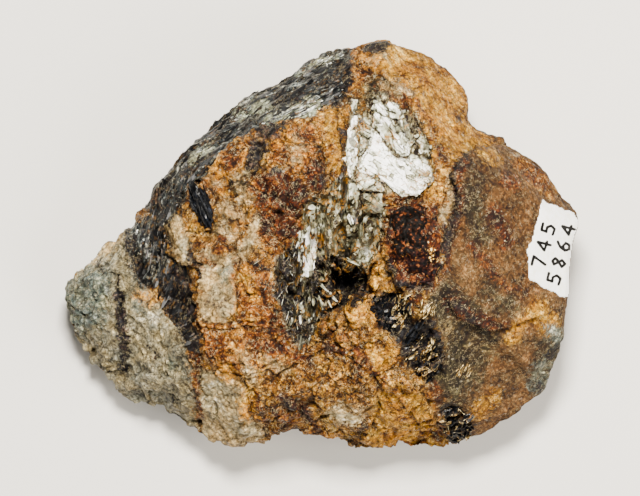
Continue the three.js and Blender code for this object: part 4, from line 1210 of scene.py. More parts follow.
def buildSchist(material):
    sheets = newSheets()
    areas = [shape[1] for shape in stains["schist"]] + [schistLeaves["band"]]
    for area, share in zip(areas, schistLeaves["shares"]):
        for x, y in scattered(area, round(share * schistLeaves["count"]), 0.2):
            height, ground = surfaceAt(x, y)
            if height < 3 or ground.z < 0.45:
                continue
            # leaves on the edge lie flat, so that none stands out of it
            flush = 1 if ground.z > 0.8 else 0.25
            sunk = 0.06 if flush < 1 else 0
            turn = foliationTurn(x, y) + random.normal(0, 0.14)
            along = Vector((math.cos(turn), math.sin(turn), 0))
            tip = ground.cross(along) * random.normal(0.1, schistLeaves["tip"])
            normal = ground + (tip + along * random.normal(0, 0.07)) * flush
            place = Vector((x, y, height)) + ground * (random.uniform(-0.1, 0.04) - sunk)
            tone = 0.16 + 0.4 * patchTone(x, y, 4.5, 141) + random.normal(0, 0.26)
            tone -= 0.32 if area is not areas[0] else 0.5 * smoothStep(-26, -32, x)
            for shape, bright in zip(stains["silver"], (0.8, 0.36, 0.36, 0.36, 0.36)):
                tone += bright * smoothStep(-0.6, 0.4, depthIn(shape, np.array([x]), np.array([y]))[0])
            # a leaf whose end would hang over the edge of the stone is kept short
            length, width = random.uniform(*schistLeaves["length"]), random.uniform(*schistLeaves["width"])
            half = along * length / 2
            ends = [surfaceAt(x + way * half.x, y + way * half.y)[0] for way in (-1, 1)]
            reach = 0.25 if flush < 1 or min(ends) < height - 1.5 else 1
            plate(sheets, tone, place, normal, along, torn(reach * length, reach * width),
                  schistLeaves["thickness"], random.normal(0, 0.02))
    finishPlates("schist_leaves", sheets, "matrix", material)


def schistMaterial():
    material, tree = newMaterial("mica schist, split along its leaves")
    place, tone, core, lines, cloud = sheetPatterns(
        tree, (0.45, 2.2, 11), {"Roughness": 0.65}, {"Scale": perMm(1.6), "Detail": 5, "Roughness": 0.65})
    clouded = weighted(tree, tone, ((lines, 1.4), (core, -0.3), (cloud[0], 1.2)))
    share = addNode(tree, "MapRange", {"From Min": 0.9, "From Max": 2.2, "Value": clouded})
    colour = addNode(tree, "ValToRGB", {"ramp": schistLook["ramp"], 0: share})
    stained = addNode(tree, "MapRange", {"From Min": 0.53, "From Max": 0.63, "To Max": 0.55,
                                         "Value": cloud[1]})
    colour = addNode(tree, "Mix", {"data_type": "RGBA", 0: stained, 6: colour,
                                   7: linear(schistLook["ochre"])}).outputs[2]
    colour = gritty(tree, place, colour, 0.9)
    rough = addNode(tree, "MapRange", {"To Min": 0.25, "To Max": 0.6, "Value": cloud[2]})
    bump = addNode(tree, "Bump", {"Strength": 0.8, "Distance": 0.15 * mm, "Height": lines})
    shader = addNode(tree, "BsdfPrincipled", {"IOR": 1.58, "Specular IOR Level": 0.2, "Base Color": colour,
                                              "Roughness": rough, "Normal": bump})
    addNode(tree, "OutputMaterial", {"Surface": shader})
    return material


buildSchist(schistMaterial())

# The big cleavage faces of the muscovite book: outline in plan, slope, lift above the stone, tone (1 is white
# and 0 dark: the sheet's own colour with each face's sheen painted in, as painted reflection) and the way its
# lines run.
bookFaces = [
    {"outline": [(10.5, 22.9), (12.1, 21.3), (14.5, 17.6), (17.3, 17.1), (21, 13.7), (21.8, 12.8), (18.9, 10),
                 (15.5, 10.3), (12.6, 12.7), (9.5, 14), (7.4, 15.3), (8.4, 17.1), (9.7, 19.7)],
     "slope": (0.02, 0.06), "lift": 0.9, "tone": 1, "lines": -40},
    {"outline": [(10.5, 27), (13.7, 25.5), (16, 22.9), (17.9, 20.5), (17.6, 18.1), (15.5, 17.9), (13.7, 20),
                 (12.1, 21.8), (10.5, 23.9)], "slope": (0.3, 0.16), "lift": 0.8, "tone": 0.85, "lines": -55},
    {"outline": [(10.5, 29.1), (12.1, 28.6), (13.9, 26.3), (12.6, 25.5), (10.8, 27.3)], "slope": (-0.1, 0),
     "lift": 1.2, "tone": 0.85, "lines": -50},
    {"outline": [(13.4, 29.1), (15.5, 28.1), (16.3, 26.5), (15.8, 24.9), (13.9, 25.5), (12.6, 27.6)],
     "slope": (0.25, 0.3), "lift": 0.7, "tone": 0.76, "lines": -60},
    {"outline": [(16.3, 26.5), (17.3, 24.4), (17.9, 22.3), (18.9, 20.8), (17.9, 20.5), (16, 22.9),
                 (15.5, 24.7)], "slope": (-0.2, 0.1), "lift": 0.9, "tone": 0.55, "lines": 110},
    {"outline": [(17.3, 23.9), (19.4, 23.6), (21, 21.5), (22, 19.5), (21.5, 17.9), (19.7, 17.9),
                 (18.4, 19.5)], "slope": (0.35, 0.1), "lift": 0.5, "tone": 0.56, "lines": -60},
    {"outline": [(17.9, 18.1), (21.3, 17.1), (22.4, 13.4), (21.5, 11.6), (19.4, 14.5), (17.3, 16.8)],
     "slope": (0.12, -0.08), "lift": 0.9, "tone": 0.75, "lines": -45},
    {"outline": [(7.7, 21.8), (9.5, 21.3), (9.7, 20), (8.4, 18.1), (7.4, 17.1)], "slope": (-0.25, 0.25),
     "lift": 0.6, "tone": 0.6, "lines": 60},
    {"outline": [(6.3, 25.5), (7.4, 25.5), (7.4, 16.1), (6.6, 11.4), (5.3, 14.7), (5, 18.7), (5.3, 22.3)],
     "slope": (-0.1, 0.02), "lift": 1, "tone": 1, "lines": 86},
    {"outline": [(7.4, 26), (10, 25.5), (10.5, 22.3), (9.5, 21.5), (7.7, 22.3)], "slope": (0.1, -0.2),
     "lift": 0.8, "tone": 0.65, "lines": -50},
    {"outline": [(5.7, 29.4), (7.4, 29.1), (7.7, 26.5), (6.6, 26), (5.8, 27.6)], "slope": (0.1, 0.1),
     "lift": 0.8, "tone": 0.6, "lines": 70},
    {"outline": [(7.4, 15), (9.5, 14), (12.1, 12.9), (12.6, 10.8), (10.5, 10.8), (7.9, 11.1), (6.9, 11.4)],
     "slope": (-0.05, -0.1), "lift": 0.8, "tone": 0.72, "lines": 20},
]
book = {
    "layers": 3, "layerDrop": 0.22, "shard": (3, 1), "relief": 0.3, "shade": 0.26,
    "tilt": (0.02, 0.28),  # how the whole book leans, to the right and to the back
    "chips": 50, "chipSize": (0.5, 1.6),
    "chipArea": [(5.2, 28.6), (12, 29.2), (19, 26), (22, 19.6), (21.6, 13), (17, 9.6), (9, 10.6), (5.6, 14)],
}


def buildBook(material):
    sheets = newSheets()
    tiltX, tiltY = book["tilt"]
    for i, face in enumerate(bookFaces):
        xs, ys = zip(*face["outline"])
        cx, cy = sum(xs) / len(xs), sum(ys) / len(ys)
        level = surfaceAt(cx, cy)[0] + face["lift"]
        slopeX, slopeY = face["slope"][0] - tiltX, face["slope"][1] - tiltY
        # the layers below reach a little further out, in terraces
        for k in range(book["layers"]):
            grow = 0.97 + 0.05 * k
            outline = [(cx + (x - cx) * grow, cy + (y - cy) * grow) for x, y in face["outline"]]
            foil(sheets, outline,
                 lambda x, y: level - k * book["layerDrop"] + slopeX * (x - cx) + slopeY * (y - cy),
                 face["tone"] - 0.1 * k, face["lines"], book["shard"], book["relief"] * (1 - 0.3 * k),
                 200 + 20 * i + k, book["shade"])
    for x, y in scattered(book["chipArea"], book["chips"]):
        height = surfaceAt(x, y)[0]
        normal = Vector((tiltX, tiltY, 1)) + Vector(random.normal(0, 0.25, 3))
        size = random.uniform(*book["chipSize"])
        turn = random.uniform(0, math.tau)
        place = Vector((x, y, height + random.uniform(0.05, 0.8)))
        plate(sheets, random.uniform(0.25, 0.9), place, normal, (math.cos(turn), math.sin(turn), 0),
              torn(size * random.uniform(1, 1.8), size), 0.08, random.normal(0, 0.06))
    finishPlates("muscovite_book_sheets", sheets, "muscovite_book", material)


# The nest: sheets on edge, as middle, turn in plan, length, rise above the stone, lean and tone.
nestSheets = [
    ((3.6, 9.4), 84, 9.8, 1.8, 24, 0.05), ((4.6, 9.8), 85, 6.6, 1.2, 18, 0.4),
    ((-0.5, 1.8), 88, 4.6, 1.8, 24, 0), ((-4.8, -5.4), 84, 5, 1.3, 24, 0.1),
    ((-3.2, -12.4), 86, 4.4, 1.2, 30, 0.35), ((-0.9, -12.8), 88, 4, 1.4, -12, 0.6),
    ((-2.4, -12.2), 90, 4, 1.2, 18, 0.45), ((-4, -18.8), 84, 4.2, 0.7, 20, 0.6),
    ((-5.6, -14.4), 72, 3.2, 0.8, 26, 0.6), ((-3.6, -8), 86, 4, 0.9, 14, 0.25),
]
# Sheets that lie on the stone, as two ends, width and tone.
nestRibbons = [
    ((5.2, 6.4), (6.6, 4.2), 0.9, 0.95), ((3.2, 4.6), (5.6, 0.4), 2.4, 0.4),
    ((8.4, 9.4), (12.2, 6.8), 2.8, 0.38), ((9, 8.2), (11.6, 6.6), 1.6, 0.5),
    ((-0.2, -7.6), (1.8, -9.2), 0.5, 0.95), ((1.8, -9.2), (3.6, -11.6), 0.55, 1),
    ((-0.5, -8.6), (1.4, -10.6), 0.4, 0.85), ((1.4, -10.6), (2.2, -12.4), 0.4, 0.8),
    ((-0.6, -9.6), (0.6, -12.2), 0.4, 0.75), ((6, -1.2), (8.8, -2), 0.9, 0.55),
    ((5, -2.6), (8.2, -3.8), 0.6, 0.8), ((7.4, -3.4), (8.6, -5.8), 0.5, 0.5),
    ((-2.8, 8.2), (-0.6, 6.6), 0.9, 0.6), ((-1.4, 9.6), (1, 8.2), 0.8, 0.5),
]
nest = {
    "hollow": (3.7, -7, 4.6),  # middle and radius of the pit, which no sheet covers
    # foils over the stone: area, tone, size of a shard, relief, lift and seed
    "foils": [("shingles", 0.4, (3.4, 1), 0.45, 0.25, 501), ("silver", 0.82, (2.8, 0.8), 0.45, 0.5, 521)],
    "foilTurn": 82, "foilShade": 0.42,
    "tipped": 22, "edges": 240, "threads": 80, "flat": [("silver", 14), ("tufts", 20)],
    "hairs": 56, "hairFan": (-20, 200), "hairMiddle": (3.8, -7.4), "hairReach": (3.6, 5.2),
}
nestAreas = {
    "shingles": [(-3.4, 3.4), (-3.4, 8.4), (0.4, 9.8), (3, 13.6), (6.6, 13.8), (8.2, 10.6), (12.4, 10.4),
                 (12.4, 4), (10.8, -1.6), (8.6, -5.4), (6.4, -2.4), (0.2, -1.8), (-1, 1)],
    "edges": [(-4.6, 2.4), (-8.4, -3.2), (-9.2, -8.8), (-6.8, -13.6), (-5.2, -19.8), (-2.6, -19.4),
              (0.2, -14.4), (0, -8.6), (-0.6, -2)],
    "threads": [(-6.4, -0.6), (-12.8, -3), (-10, -5.4), (-11, -8), (-8.4, -9.6), (-9.2, -12.8), (-7, -15),
                (-5, -19.8), (-2.6, -19.4), (0.2, -14.4), (0, -8.6), (-1.6, -3)],
    "silver": [(-4.4, 3.2), (-2.6, 3.4), (-0.6, 1), (-0.8, -3), (-1.6, -6.4), (-4.2, -6.2), (-4.6, -1)],
    "tufts": [(-4, -11), (-0.2, -11), (-0.6, -15), (-4.2, -14.6)],
}


def buildNest(material):
    sheets = newSheets()
    for (x, y), turn, length, rise, lean, tone in nestSheets:
        for shift in (0, 0.25, 0.5):
            upright(sheets, x + shift, y + shift * 0.5, turn + random.normal(0, 2),
                    length * (1 - 0.3 * shift), rise, lean, tone * (1 - 0.5 * shift), 0.1)
    for (ax, ay), (bx, by), width, tone in nestRibbons:
        x, y = (ax + bx) / 2, (ay + by) / 2
        height, ground = surfaceAt(x, y)
        normal = Vector((ground.x * 0.5, ground.y * 0.5, 1)) + Vector(random.normal(0, 0.1, 3))
        for shift in (-0.3, 0, 0.3):
            spread = Vector((shift * (by - ay), shift * (ax - bx), 0)) * width * 0.25
            plate(sheets, tone * random.uniform(0.6, 1.05), Vector((x, y, height + 0.45)) + spread,
                  normal + Vector(random.normal(0, 0.25, 3)), (bx - ax, by - ay, 0),
                  torn(math.hypot(bx - ax, by - ay) * random.uniform(0.7, 1.15), width * 0.6, 11), 0.06,
                  random.normal(0, 0.12), 0.08)
    for area, tone, shard, relief, lift, seed in nest["foils"]:
        foil(sheets, nestAreas[area], lambda x, y: groundUnder(x, y) + lift, tone, nest["foilTurn"], shard,
             relief, seed, nest["foilShade"], nest["hollow"])
    for x, y in scattered(nestAreas["shingles"], nest["tipped"]):
        height, ground = surfaceAt(x, y)
        if math.dist((x, y), nest["hollow"][:2]) < nest["hollow"][2]:
            continue
        normal = ground * 0.5 + Vector((0, 0.1, 0.6)) + Vector(random.normal(0, 0.3, 3))
        turn = math.radians(random.normal(80, 40))
        size = random.uniform(0.5, 1.2)
        plate(sheets, random.beta(1, 2.4), (x, y, height + random.uniform(0.2, 0.5)), normal,
              (math.cos(turn), math.sin(turn), 0), torn(size * random.uniform(1.2, 2.2), size), 0.03,
              random.normal(0, 0.3), 0.05)
    for x, y in scattered(nestAreas["edges"], nest["edges"]):
        upright(sheets, x, y, random.normal(83, 24), random.uniform(0.5, 2.2), random.uniform(0.15, 0.7),
                random.normal(0, 14), 0.35 * random.beta(0.4, 1.7), 0.045)
    # pale threads, where a sheet shows its edge
    for x, y in scattered(nestAreas["threads"], nest["threads"]):
        turn = math.radians(random.normal(85, 34))
        plate(sheets, random.uniform(0.2, 0.9), (x, y, surfaceAt(x, y)[0] + random.uniform(0, 0.6)),
              Vector((0, 0.1, 1)) + Vector(random.normal(0, 0.3, 3)), (math.cos(turn), math.sin(turn), 0),
              torn(random.uniform(0.8, 2.8), random.uniform(0.05, 0.12)), 0.05, random.normal(0, 0.5), 0.02)
    for area, count in nest["flat"]:
        for x, y in scattered(nestAreas[area], count):
            height = surfaceAt(x, y)[0]
            turn = math.radians(random.normal(84, 12))
            normal = Vector((random.normal(0.1, 0.35), 0.2, 1))
            plate(sheets, random.uniform(0.3, 0.9), (x, y, height + random.uniform(0, 0.35)), normal,
                  (math.cos(turn), math.sin(turn), 0),
                  torn(random.uniform(0.8, 2.4), random.uniform(0.3, 0.9)), 0.03, random.normal(0, 0.4), 0.05)
    # hairs that fan out over the wall of the hollow
    middleX, middleY = nest["hairMiddle"]
    for turn in np.linspace(*nest["hairFan"], nest["hairs"]):
        turn += random.uniform(-2, 2)
        reach = random.uniform(*nest["hairReach"])
        x = middleX + reach * math.cos(math.radians(turn))
        y = middleY + reach * math.sin(math.radians(turn))
        upright(sheets, x, y, turn + random.normal(0, 8), random.uniform(0.8, 2.4),
                random.uniform(0.12, 0.35), random.normal(0, 20), random.beta(1, 2.2) * 0.7, 0.05)
    finishPlates("muscovite_nest_blades", sheets, "muscovite_nest", material)


# Muscovite: cleaved sheets, which give a pearly silver face with fine lines where the sheets end.
muscoviteLook = {"ramp": ["#070503", "#2a2416", "#6c6a52", "#b6b8a2", "#ffffff"], "edge": "#3c3a2a",
                 "stain": "#c4861c", "crack": "#966208"}


def muscoviteMaterial():
    material, tree = newMaterial("muscovite, cleaved")
    place, tone, core, lines, cloud = sheetPatterns(
        tree, (0.5, 3.6, 9), {"Roughness": 0.6, "Distortion": 0.4},
        {"Scale": perMm(1.3), "Detail": 5, "Roughness": 0.65})
    # the rim of a grey sheet gleams, and that of a white one is a grey line
    rimmed = addNode(tree, "MapRange", {"From Min": 0.2, "From Max": 0.9, "To Min": 1, "To Max": 0,
                                        "Value": core})
    gleam = addNode(tree, "MapRange", {"From Min": 0.3, "From Max": 0.5, "To Min": 0.3, "To Max": -0.6,
                                       "Value": tone})
    visible = addNode(tree, "MapRange", {"From Min": 0.2, "From Max": 0.4, "Value": tone})
    gleam = addNode(tree, "Math", {"operation": "MULTIPLY", 0: gleam, 1: visible})
    clouded = weighted(tree, tone, ((lines, 0.9), (cloud[0], 1.3), (rimmed, gleam)))
    share = addNode(tree, "MapRange", {"From Min": 1.05, "From Max": 2.15, "Value": clouded})
    colour = addNode(tree, "ValToRGB", {"ramp": muscoviteLook["ramp"], 0: share})
    edge = addNode(tree, "MapRange", {"From Min": 0.33, "From Max": 0.4, "To Min": 0.45, "To Max": 0,
                                      "Value": lines})
    stain = addNode(tree, "MapRange", {"From Min": 0.6, "From Max": 0.72, "To Max": 0.75, "Value": cloud[1]})
    # iron has crept in along a few winding cracks
    wide = addNode(tree, "TexNoise", {"Scale": perMm(4.5), "Vector": place})
    allowed = addNode(tree, "MapRange", {"From Min": 0.5, "From Max": 0.58, "To Max": 0.85, "Value": wide})
    crack = winding(tree, cloud[2], 0.008, 0.03, 1)
    crack = addNode(tree, "Math", {"operation": "MULTIPLY", 0: crack, 1: allowed})
    for share, name in ((edge, "edge"), (stain, "stain"), (crack, "crack")):
        colour = addNode(tree, "Mix", {"data_type": "RGBA", 0: share, 6: colour,
                                       7: linear(muscoviteLook[name])}).outputs[2]
    colour = gritty(tree, place, colour, 0.3)
    rough = addNode(tree, "MapRange", {"To Min": 0.25, "To Max": 0.5, "Value": cloud[2]})
    bump = addNode(tree, "Bump", {"Strength": 0.6, "Distance": 0.15 * mm, "Height": lines})
    shader = addNode(tree, "BsdfPrincipled", {"IOR": 1.59, "Specular IOR Level": 0.2, "Base Color": colour,
                                              "Roughness": rough, "Normal": bump})
    addNode(tree, "OutputMaterial", {"Surface": shader})
    return material


muscovite = muscoviteMaterial()
buildBook(muscovite)
buildNest(muscovite)


# Biotite: black mica books, glossy on the cleavage, with brassy glints where sheets have weathered.
biotiteLook = {"black": ["#010102", "#050608", "#0d1016"], "brass": ["#1c1206", "#76592a", "#dccb9a"]}


def biotiteMaterial():
    material, tree = newMaterial("biotite, cleaved")
    place, tone, core, lines, cloud = sheetPatterns(
        tree, (0.22, 2.4, 9), {}, {"Scale": perMm(0.8), "Detail": 3})
    share = addNode(tree, "MapRange", {"From Min": 0.35, "From Max": 0.65, "Value": lines})
    black, brass = (addNode(tree, "ValToRGB", {"ramp": biotiteLook[name], 0: share})
                    for name in ("black", "brass"))
    clouded = weighted(tree, tone, ((cloud[0], 0.8), (core, -0.2)))
    brassShare = addNode(tree, "MapRange", {"From Min": 0.72, "From Max": 1, "Value": clouded})
    colour = addNode(tree, "Mix", {"data_type": "RGBA", 0: brassShare, 6: black, 7: brass}).outputs[2]
    colour = gritty(tree, place, colour, 1.4)
    rough = addNode(tree, "MapRange", {"To Min": 0.12, "To Max": 0.4, "Value": cloud[0]})
    bump = addNode(tree, "Bump", {"Strength": 0.7, "Distance": 0.12 * mm, "Height": lines})
    shader = addNode(tree, "BsdfPrincipled", {"IOR": 1.6, "Specular IOR Level": 0.14, "Base Color": colour,
                                              "Roughness": rough, "Normal": bump})
    addNode(tree, "OutputMaterial", {"Surface": shader})
    return material


biotite = biotiteMaterial()
# Groups of blades in each biotite book: plan area, turn and its spread, how many, length, width, lean, tone.
biotiteBooks = {
    "biotite_blade": [
        {"area": [(-26.2, 9.8), (-25, 12.2), (-23.2, 11.2), (-21.8, 7), (-22, 4.6), (-24.2, 5.6)],
         "turn": -66, "spread": 4, "count": 110, "length": (2, 4.6), "width": (0.4, 1.1), "lean": 50,
         "sway": 9, "tone": (-0.8, 0.24)},
        {"area": [(-24.4, 5.4), (-21.2, 5.6), (-21.6, 3.8), (-23, 3)], "turn": -40, "spread": 50, "count": 24,
         "length": (0.4, 1), "width": (0.2, 0.5), "lean": 60, "tone": (0, 0.5)},
    ],
    "biotite_cluster": [
        {"area": [(10.2, -10), (13.4, -9.6), (14.6, -13), (15.6, -17.4), (14, -18.2), (11, -15), (9.8, -12)],
         "turn": 70, "spread": 40, "count": 46, "length": (0.5, 1.6), "width": (0.3, 0.8), "lean": 45,
         "tone": (0, 0.3)},
        {"area": [(13.8, -9.2), (17.4, -9.6), (18.2, -12), (16.6, -16.4), (15.2, -16.6), (14.4, -12.6)],
         "turn": 62, "spread": 16, "count": 64, "length": (1, 2.8), "width": (0.35, 0.9), "lean": 55,
         "tone": (0, 0.85)},
        {"area": [(17, -18.6), (17.6, -16.6), (20, -14.4), (21, -15), (18.6, -18.8)], "turn": 54, "spread": 4,
         "count": 14, "length": (2.4, 4.4), "width": (0.4, 0.8), "lean": 52, "tone": (0, 0.1)},
        {"area": [(19.4, -11), (22.2, -10.6), (22.6, -13.4), (20.2, -14)], "turn": 60, "spread": 12,
         "count": 26, "length": (0.7, 2), "width": (0.25, 0.5), "lean": 50, "tone": (0.5, 1.1)},
        {"area": [(16.6, -19), (20.5, -17), (23.8, -18.4), (24.4, -23.6), (21.6, -27), (18, -25.4),
                  (16.6, -22.4)], "turn": 56, "spread": 26, "count": 62, "length": (0.6, 2.4),
         "width": (0.3, 0.9), "lean": 48, "tone": (-0.1, 0.7)},
        {"area": [(20, -19.4), (22.6, -19), (22.8, -22.4), (20.6, -22.8)], "turn": 50, "spread": 14,
         "count": 24, "length": (0.5, 1.4), "width": (0.2, 0.4), "lean": 50, "tone": (0.7, 1.1)},
        {"area": [(26.6, -24.4), (29.4, -23.6), (30.6, -25.8), (28.4, -27.2)], "turn": 58, "spread": 8,
         "count": 22, "length": (0.8, 2.2), "width": (0.15, 0.35), "lean": 40, "tone": (0.5, 1.1)},
    ],
    "biotite_toe": [
        {"area": [(23.4, -33.4), (25, -37), (27.4, -39.6), (30, -38), (30.6, -34.8), (28.4, -32.6),
                  (26.2, -31.4)], "turn": 24, "spread": 40, "count": 80, "length": (0.6, 2.4),
         "width": (0.4, 1.1), "lean": 55, "tone": (0, 0.6)},
    ],
}


def buildBiotite(name, groups):
    sheets = newSheets()
    for group in groups:
        for x, y in scattered(group["area"], group["count"], 0.1):
            height, ground = surfaceAt(x, y)
            turn = math.radians(random.normal(group["turn"], group["spread"]))
            lean = math.radians(random.normal(group["lean"], group.get("sway", 16)))
            flat = Vector((-math.sin(turn), math.cos(turn), 0))
            normal = flat * math.cos(lean) + Vector((0, 0, 1)) * math.sin(lean) + ground * 0.3
            place = Vector((x, y, height)) + ground * random.uniform(-0.1, 0.5)
            along = (math.cos(turn), math.sin(turn), 0)
            plate(sheets, random.uniform(*group["tone"]), place, normal, along,
                  torn(random.uniform(*group["length"]), random.uniform(*group["width"])), 0.1,
                  random.normal(0, 0.05))
    finishPlates(name + "_sheets", sheets, name, biotite)


for bookName, groups in biotiteBooks.items():
    buildBiotite(bookName, groups)


# The zircon: a worn square prism. Its broken face glints in grains, dark in the middle and rusty at the rim,
# with a cream highlight painted at one corner.
zircon = {
    "voxel": 0.25, "relief": 0.4, "rimDrop": 0.9, "rimWidth": 2.4,
    "face": [(13.2, 6.4), (14.6, 7.8), (20.6, 7.8), (22.4, 5.8), (23.4, 1.4), (23, -3), (20.4, -6.4),
             (15.6, -6.6), (13.6, -3)],
    "heart": [(12.8, 8.8), (12.6, 3), (13.2, 0.4), (14, -3), (20, -2.4), (21, 0.6), (21.8, 3.2), (23, 6.4),
              (20, 8.8)],
    # the corner is where a cream highlight is painted
    "corner": [(21.2, 0), (22.2, 0.4), (23, -3), (21.8, -3.4)],
}
zirconLook = {
    "heart": ["#010100", "#030201", "#080403", "#180a05", "#5e3014"],
    "rim": ["#080303", "#220b05", "#421c07", "#6c3c10", "#b47c34"],
    "foot": ["#020202", "#070304", "#120606", "#260d07", "#6e4220"],
    # the corner's ramp is a painted highlight
    "corner": ["#2c1206", "#8a4a12", "#c68428", "#ecbc5c", "#fff0c0"],
    "glint": "#b87a34",
}


def buildZircon():
    work = bmesh.new()
    work.from_mesh(nodes["zircon_crystal"].data)
    bmesh.ops.remove_doubles(work, verts=work.verts, dist=0.001 * mm)
    source = bpy.data.meshes.new("zircon block")
    work.to_mesh(source)
    work.free()
    mesh = remeshed(source, zircon["voxel"])
    smoothShaded(mesh)
    points = relaxed(coordinates(mesh), edgeEnds(mesh), 6)
    setCoordinates(mesh, points)
    normals = vertexNormals(mesh)
    x, y = points[:, 0], points[:, 1]
    depth = depthIn((0, zircon["face"]), x, y) + 1.1 * facets(points, 2.6, 93)
    relief = zircon["relief"] * facets(points, 2.4, 92) + 0.2 * facets(points, 0.9, 94)
    relief += 0.3 * ledges(points, (0.8, 0.5, 0), 2.4, 96)
    relief -= zircon["rimDrop"] * smoothStep(zircon["rimWidth"], 0, depth) - 0.4
    # the lower third has broken away to a deeper face
    relief -= 0.6 * smoothStep(-1.2, -2.6, y + 0.3 * facets(points, 2, 97))
    topSide = smoothStep(0.1, 0.5, normals[:, 2])
    setCoordinates(mesh, points + normals * (relief * topSide)[:, None])
    setField(mesh, "heart", depthIn((0, zircon["heart"]), x, y) + 0.5)
    setField(mesh, "foot", -1.4 - y + 0.2 * (x - 18))
    # this field places the painted highlight of the corner
    setField(mesh, "corner", depthIn((0, zircon["corner"]), x, y) - 0.8)
    piece = newPiece("zircon_prism", mesh)
    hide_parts("zircon_crystal")
    print("zircon", len(mesh.polygons), "faces")
    return piece


def zirconMaterial():
    material, tree = newMaterial("zircon, worn and iron stained")
    place = addNode(tree, "TexCoord", {}).outputs["Object"]
    noise = threePatterns(tree, "TexNoise", {"Scale": perMm(1.3), "Detail": 5, "Roughness": 0.68,
                                             "Vector": place})
    fine = addNode(tree, "TexNoise", {"Scale": perMm(0.6), "Detail": 3, "Roughness": 0.65, "Vector": place})
    crystal = threePatterns(tree, "TexVoronoi", {"Scale": perMm(0.4), "Vector": place})
    mixed = addNode(tree, "Mix", {"data_type": "FLOAT", 0: 0.5, 2: noise[1], 3: fine})
    share = addNode(tree, "MapRange", {"From Min": 0.39, "From Max": 0.61, "Value": mixed})
    ramps = {name: addNode(tree, "ValToRGB", {"ramp": zirconLook[name], 0: share})
             for name in ("rim", "heart", "foot", "corner")}
    colour = ramps["rim"]
    # the heart, the foot and the painted highlight of the corner are laid over the rim's colour
    for name, frayNoise in (("heart", noise[0]), ("foot", noise[2]), ("corner", noise[1])):
        field = addNode(tree, "Attribute", {"attribute_name": name}).outputs["Fac"]
        frayed = weighted(tree, field, ((frayNoise, 4), (fine, 8)))
        mask = addNode(tree, "MapRange", {"From Min": 5.4, "From Max": 6.6, "Value": frayed})
        colour = addNode(tree, "Mix", {"data_type": "RGBA", 0: mask, 6: colour, 7: ramps[name]}).outputs[2]
    glint = addNode(tree, "MapRange", {"From Min": 0.64, "From Max": 0.72, "To Max": 0.5, "Value": noise[2]})
    colour = addNode(tree, "Mix", {"data_type": "RGBA", 0: glint, 6: colour,
                                   7: linear(zirconLook["glint"])}).outputs[2]
    colour = gritty(tree, place, colour, 1.1)
    rough = addNode(tree, "MapRange", {"To Min": 0.35, "To Max": 0.85, "Value": crystal[1]})
    bump = addNode(tree, "Bump", {"Strength": 0.9, "Distance": 0.25 * mm, "Height": fine})
    shader = addNode(tree, "BsdfPrincipled", {"IOR": 1.9, "Specular IOR Level": 0.03, "Base Color": colour,
                                              "Roughness": rough, "Normal": bump})
    addNode(tree, "OutputMaterial", {"Surface": shader})
    return material


buildZircon().data.materials.append(zirconMaterial())


# The label: thick white paint brushed on the stone, with two rows of plain numbers in pen.
label = {
    "outline": paintPatch,
    "cell": 0.18, "thickness": 0.3, "penHalfWidth": 0.25, "digitHeight": 2.7, "digitWidth": 1.8,
    "rows": [("745", (44.6, -4.4)), ("5864", (47.7, -7.8))], "turn": 74, "advance": 3.4,
}
# Pen strokes of each number in a box from (0, 0) to (1, 1).
penStrokes = {
    "4": [[(0.75, 0), (0.7, 1), (0, 0.35), (1, 0.32)]],
    "5": [[(0.95, 1), (0.2, 0.98), (0.15, 0.58), (0.65, 0.62), (0.95, 0.36), (0.7, 0.04), (0.05, 0.06)]],
    "6": [[(0.8, 1), (0.3, 0.7), (0.08, 0.3), (0.35, 0), (0.8, 0.08), (0.9, 0.38), (0.55, 0.52),
           (0.15, 0.36)]],
    "7": [[(0, 0.96), (0.95, 1), (0.4, 0)]],
    "8": [[(0.85, 0.86), (0.45, 1), (0.15, 0.8), (0.85, 0.3), (0.55, 0), (0.12, 0.2), (0.7, 0.62),
           (0.85, 0.86)]],
}


def penLines():
    turn = math.radians(label["turn"])
    lines = []
    for text, (startX, startY) in label["rows"]:
        for i, character in enumerate(text):
            for stroke in penStrokes[character]:
                line = []
                for u, v in stroke:
                    along = i * label["advance"] + u * label["digitWidth"]
                    up = v * label["digitHeight"]
                    line.append((startX + along * math.cos(turn) - up * math.sin(turn),
                                 startY + along * math.sin(turn) + up * math.cos(turn)))
                lines.append(line)
    return lines


def buildLabel():
    x, y, columns = planGrid(label["outline"], label["cell"], 1)
    flat = np.stack([x, y, np.zeros(len(x))], axis=1)
    frayed = 0.35 * facets(flat, 1.6, 101) + 0.2 * facets(flat, 0.7, 102)
    depth = depthIn((0, label["outline"]), x, y) + frayed
    ink = np.full(len(x), -2.0)
    for line in penLines():
        ink = np.maximum(ink, label["penHalfWidth"] - pathDistance(line, x, y)[0])
    ground = np.stack([x, y, groundUnder(x, y, 3)], axis=1)
    facing = np.array([surfaceAt(px, py)[1].z for px, py in zip(x, y)])
    swell = label["thickness"] * np.clip(0.35 + depth / 0.5, 0.35, 1)
    work = bmesh.new()
    layers = [work.verts.layers.float.new("ink")]
    closedSheet(work, layers, (depth > 0) & (facing > 0.12) & (ground[:, 2] > 5), columns,
                ground + np.stack([0 * x, 0 * x, swell], axis=1), ground - [0, 0, 0.6], [ink])
    mesh = bpy.data.meshes.new("label_paint")
    work.to_mesh(mesh)
    work.free()
    smoothShaded(mesh)
    piece = newPiece("label_paint", mesh)
    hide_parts("catalogue_label")
    print("label", len(mesh.polygons), "faces")
    return piece


labelLook = {"paint": "#ffffff", "yellowed": "#f2f0de", "ink": "#020202"}


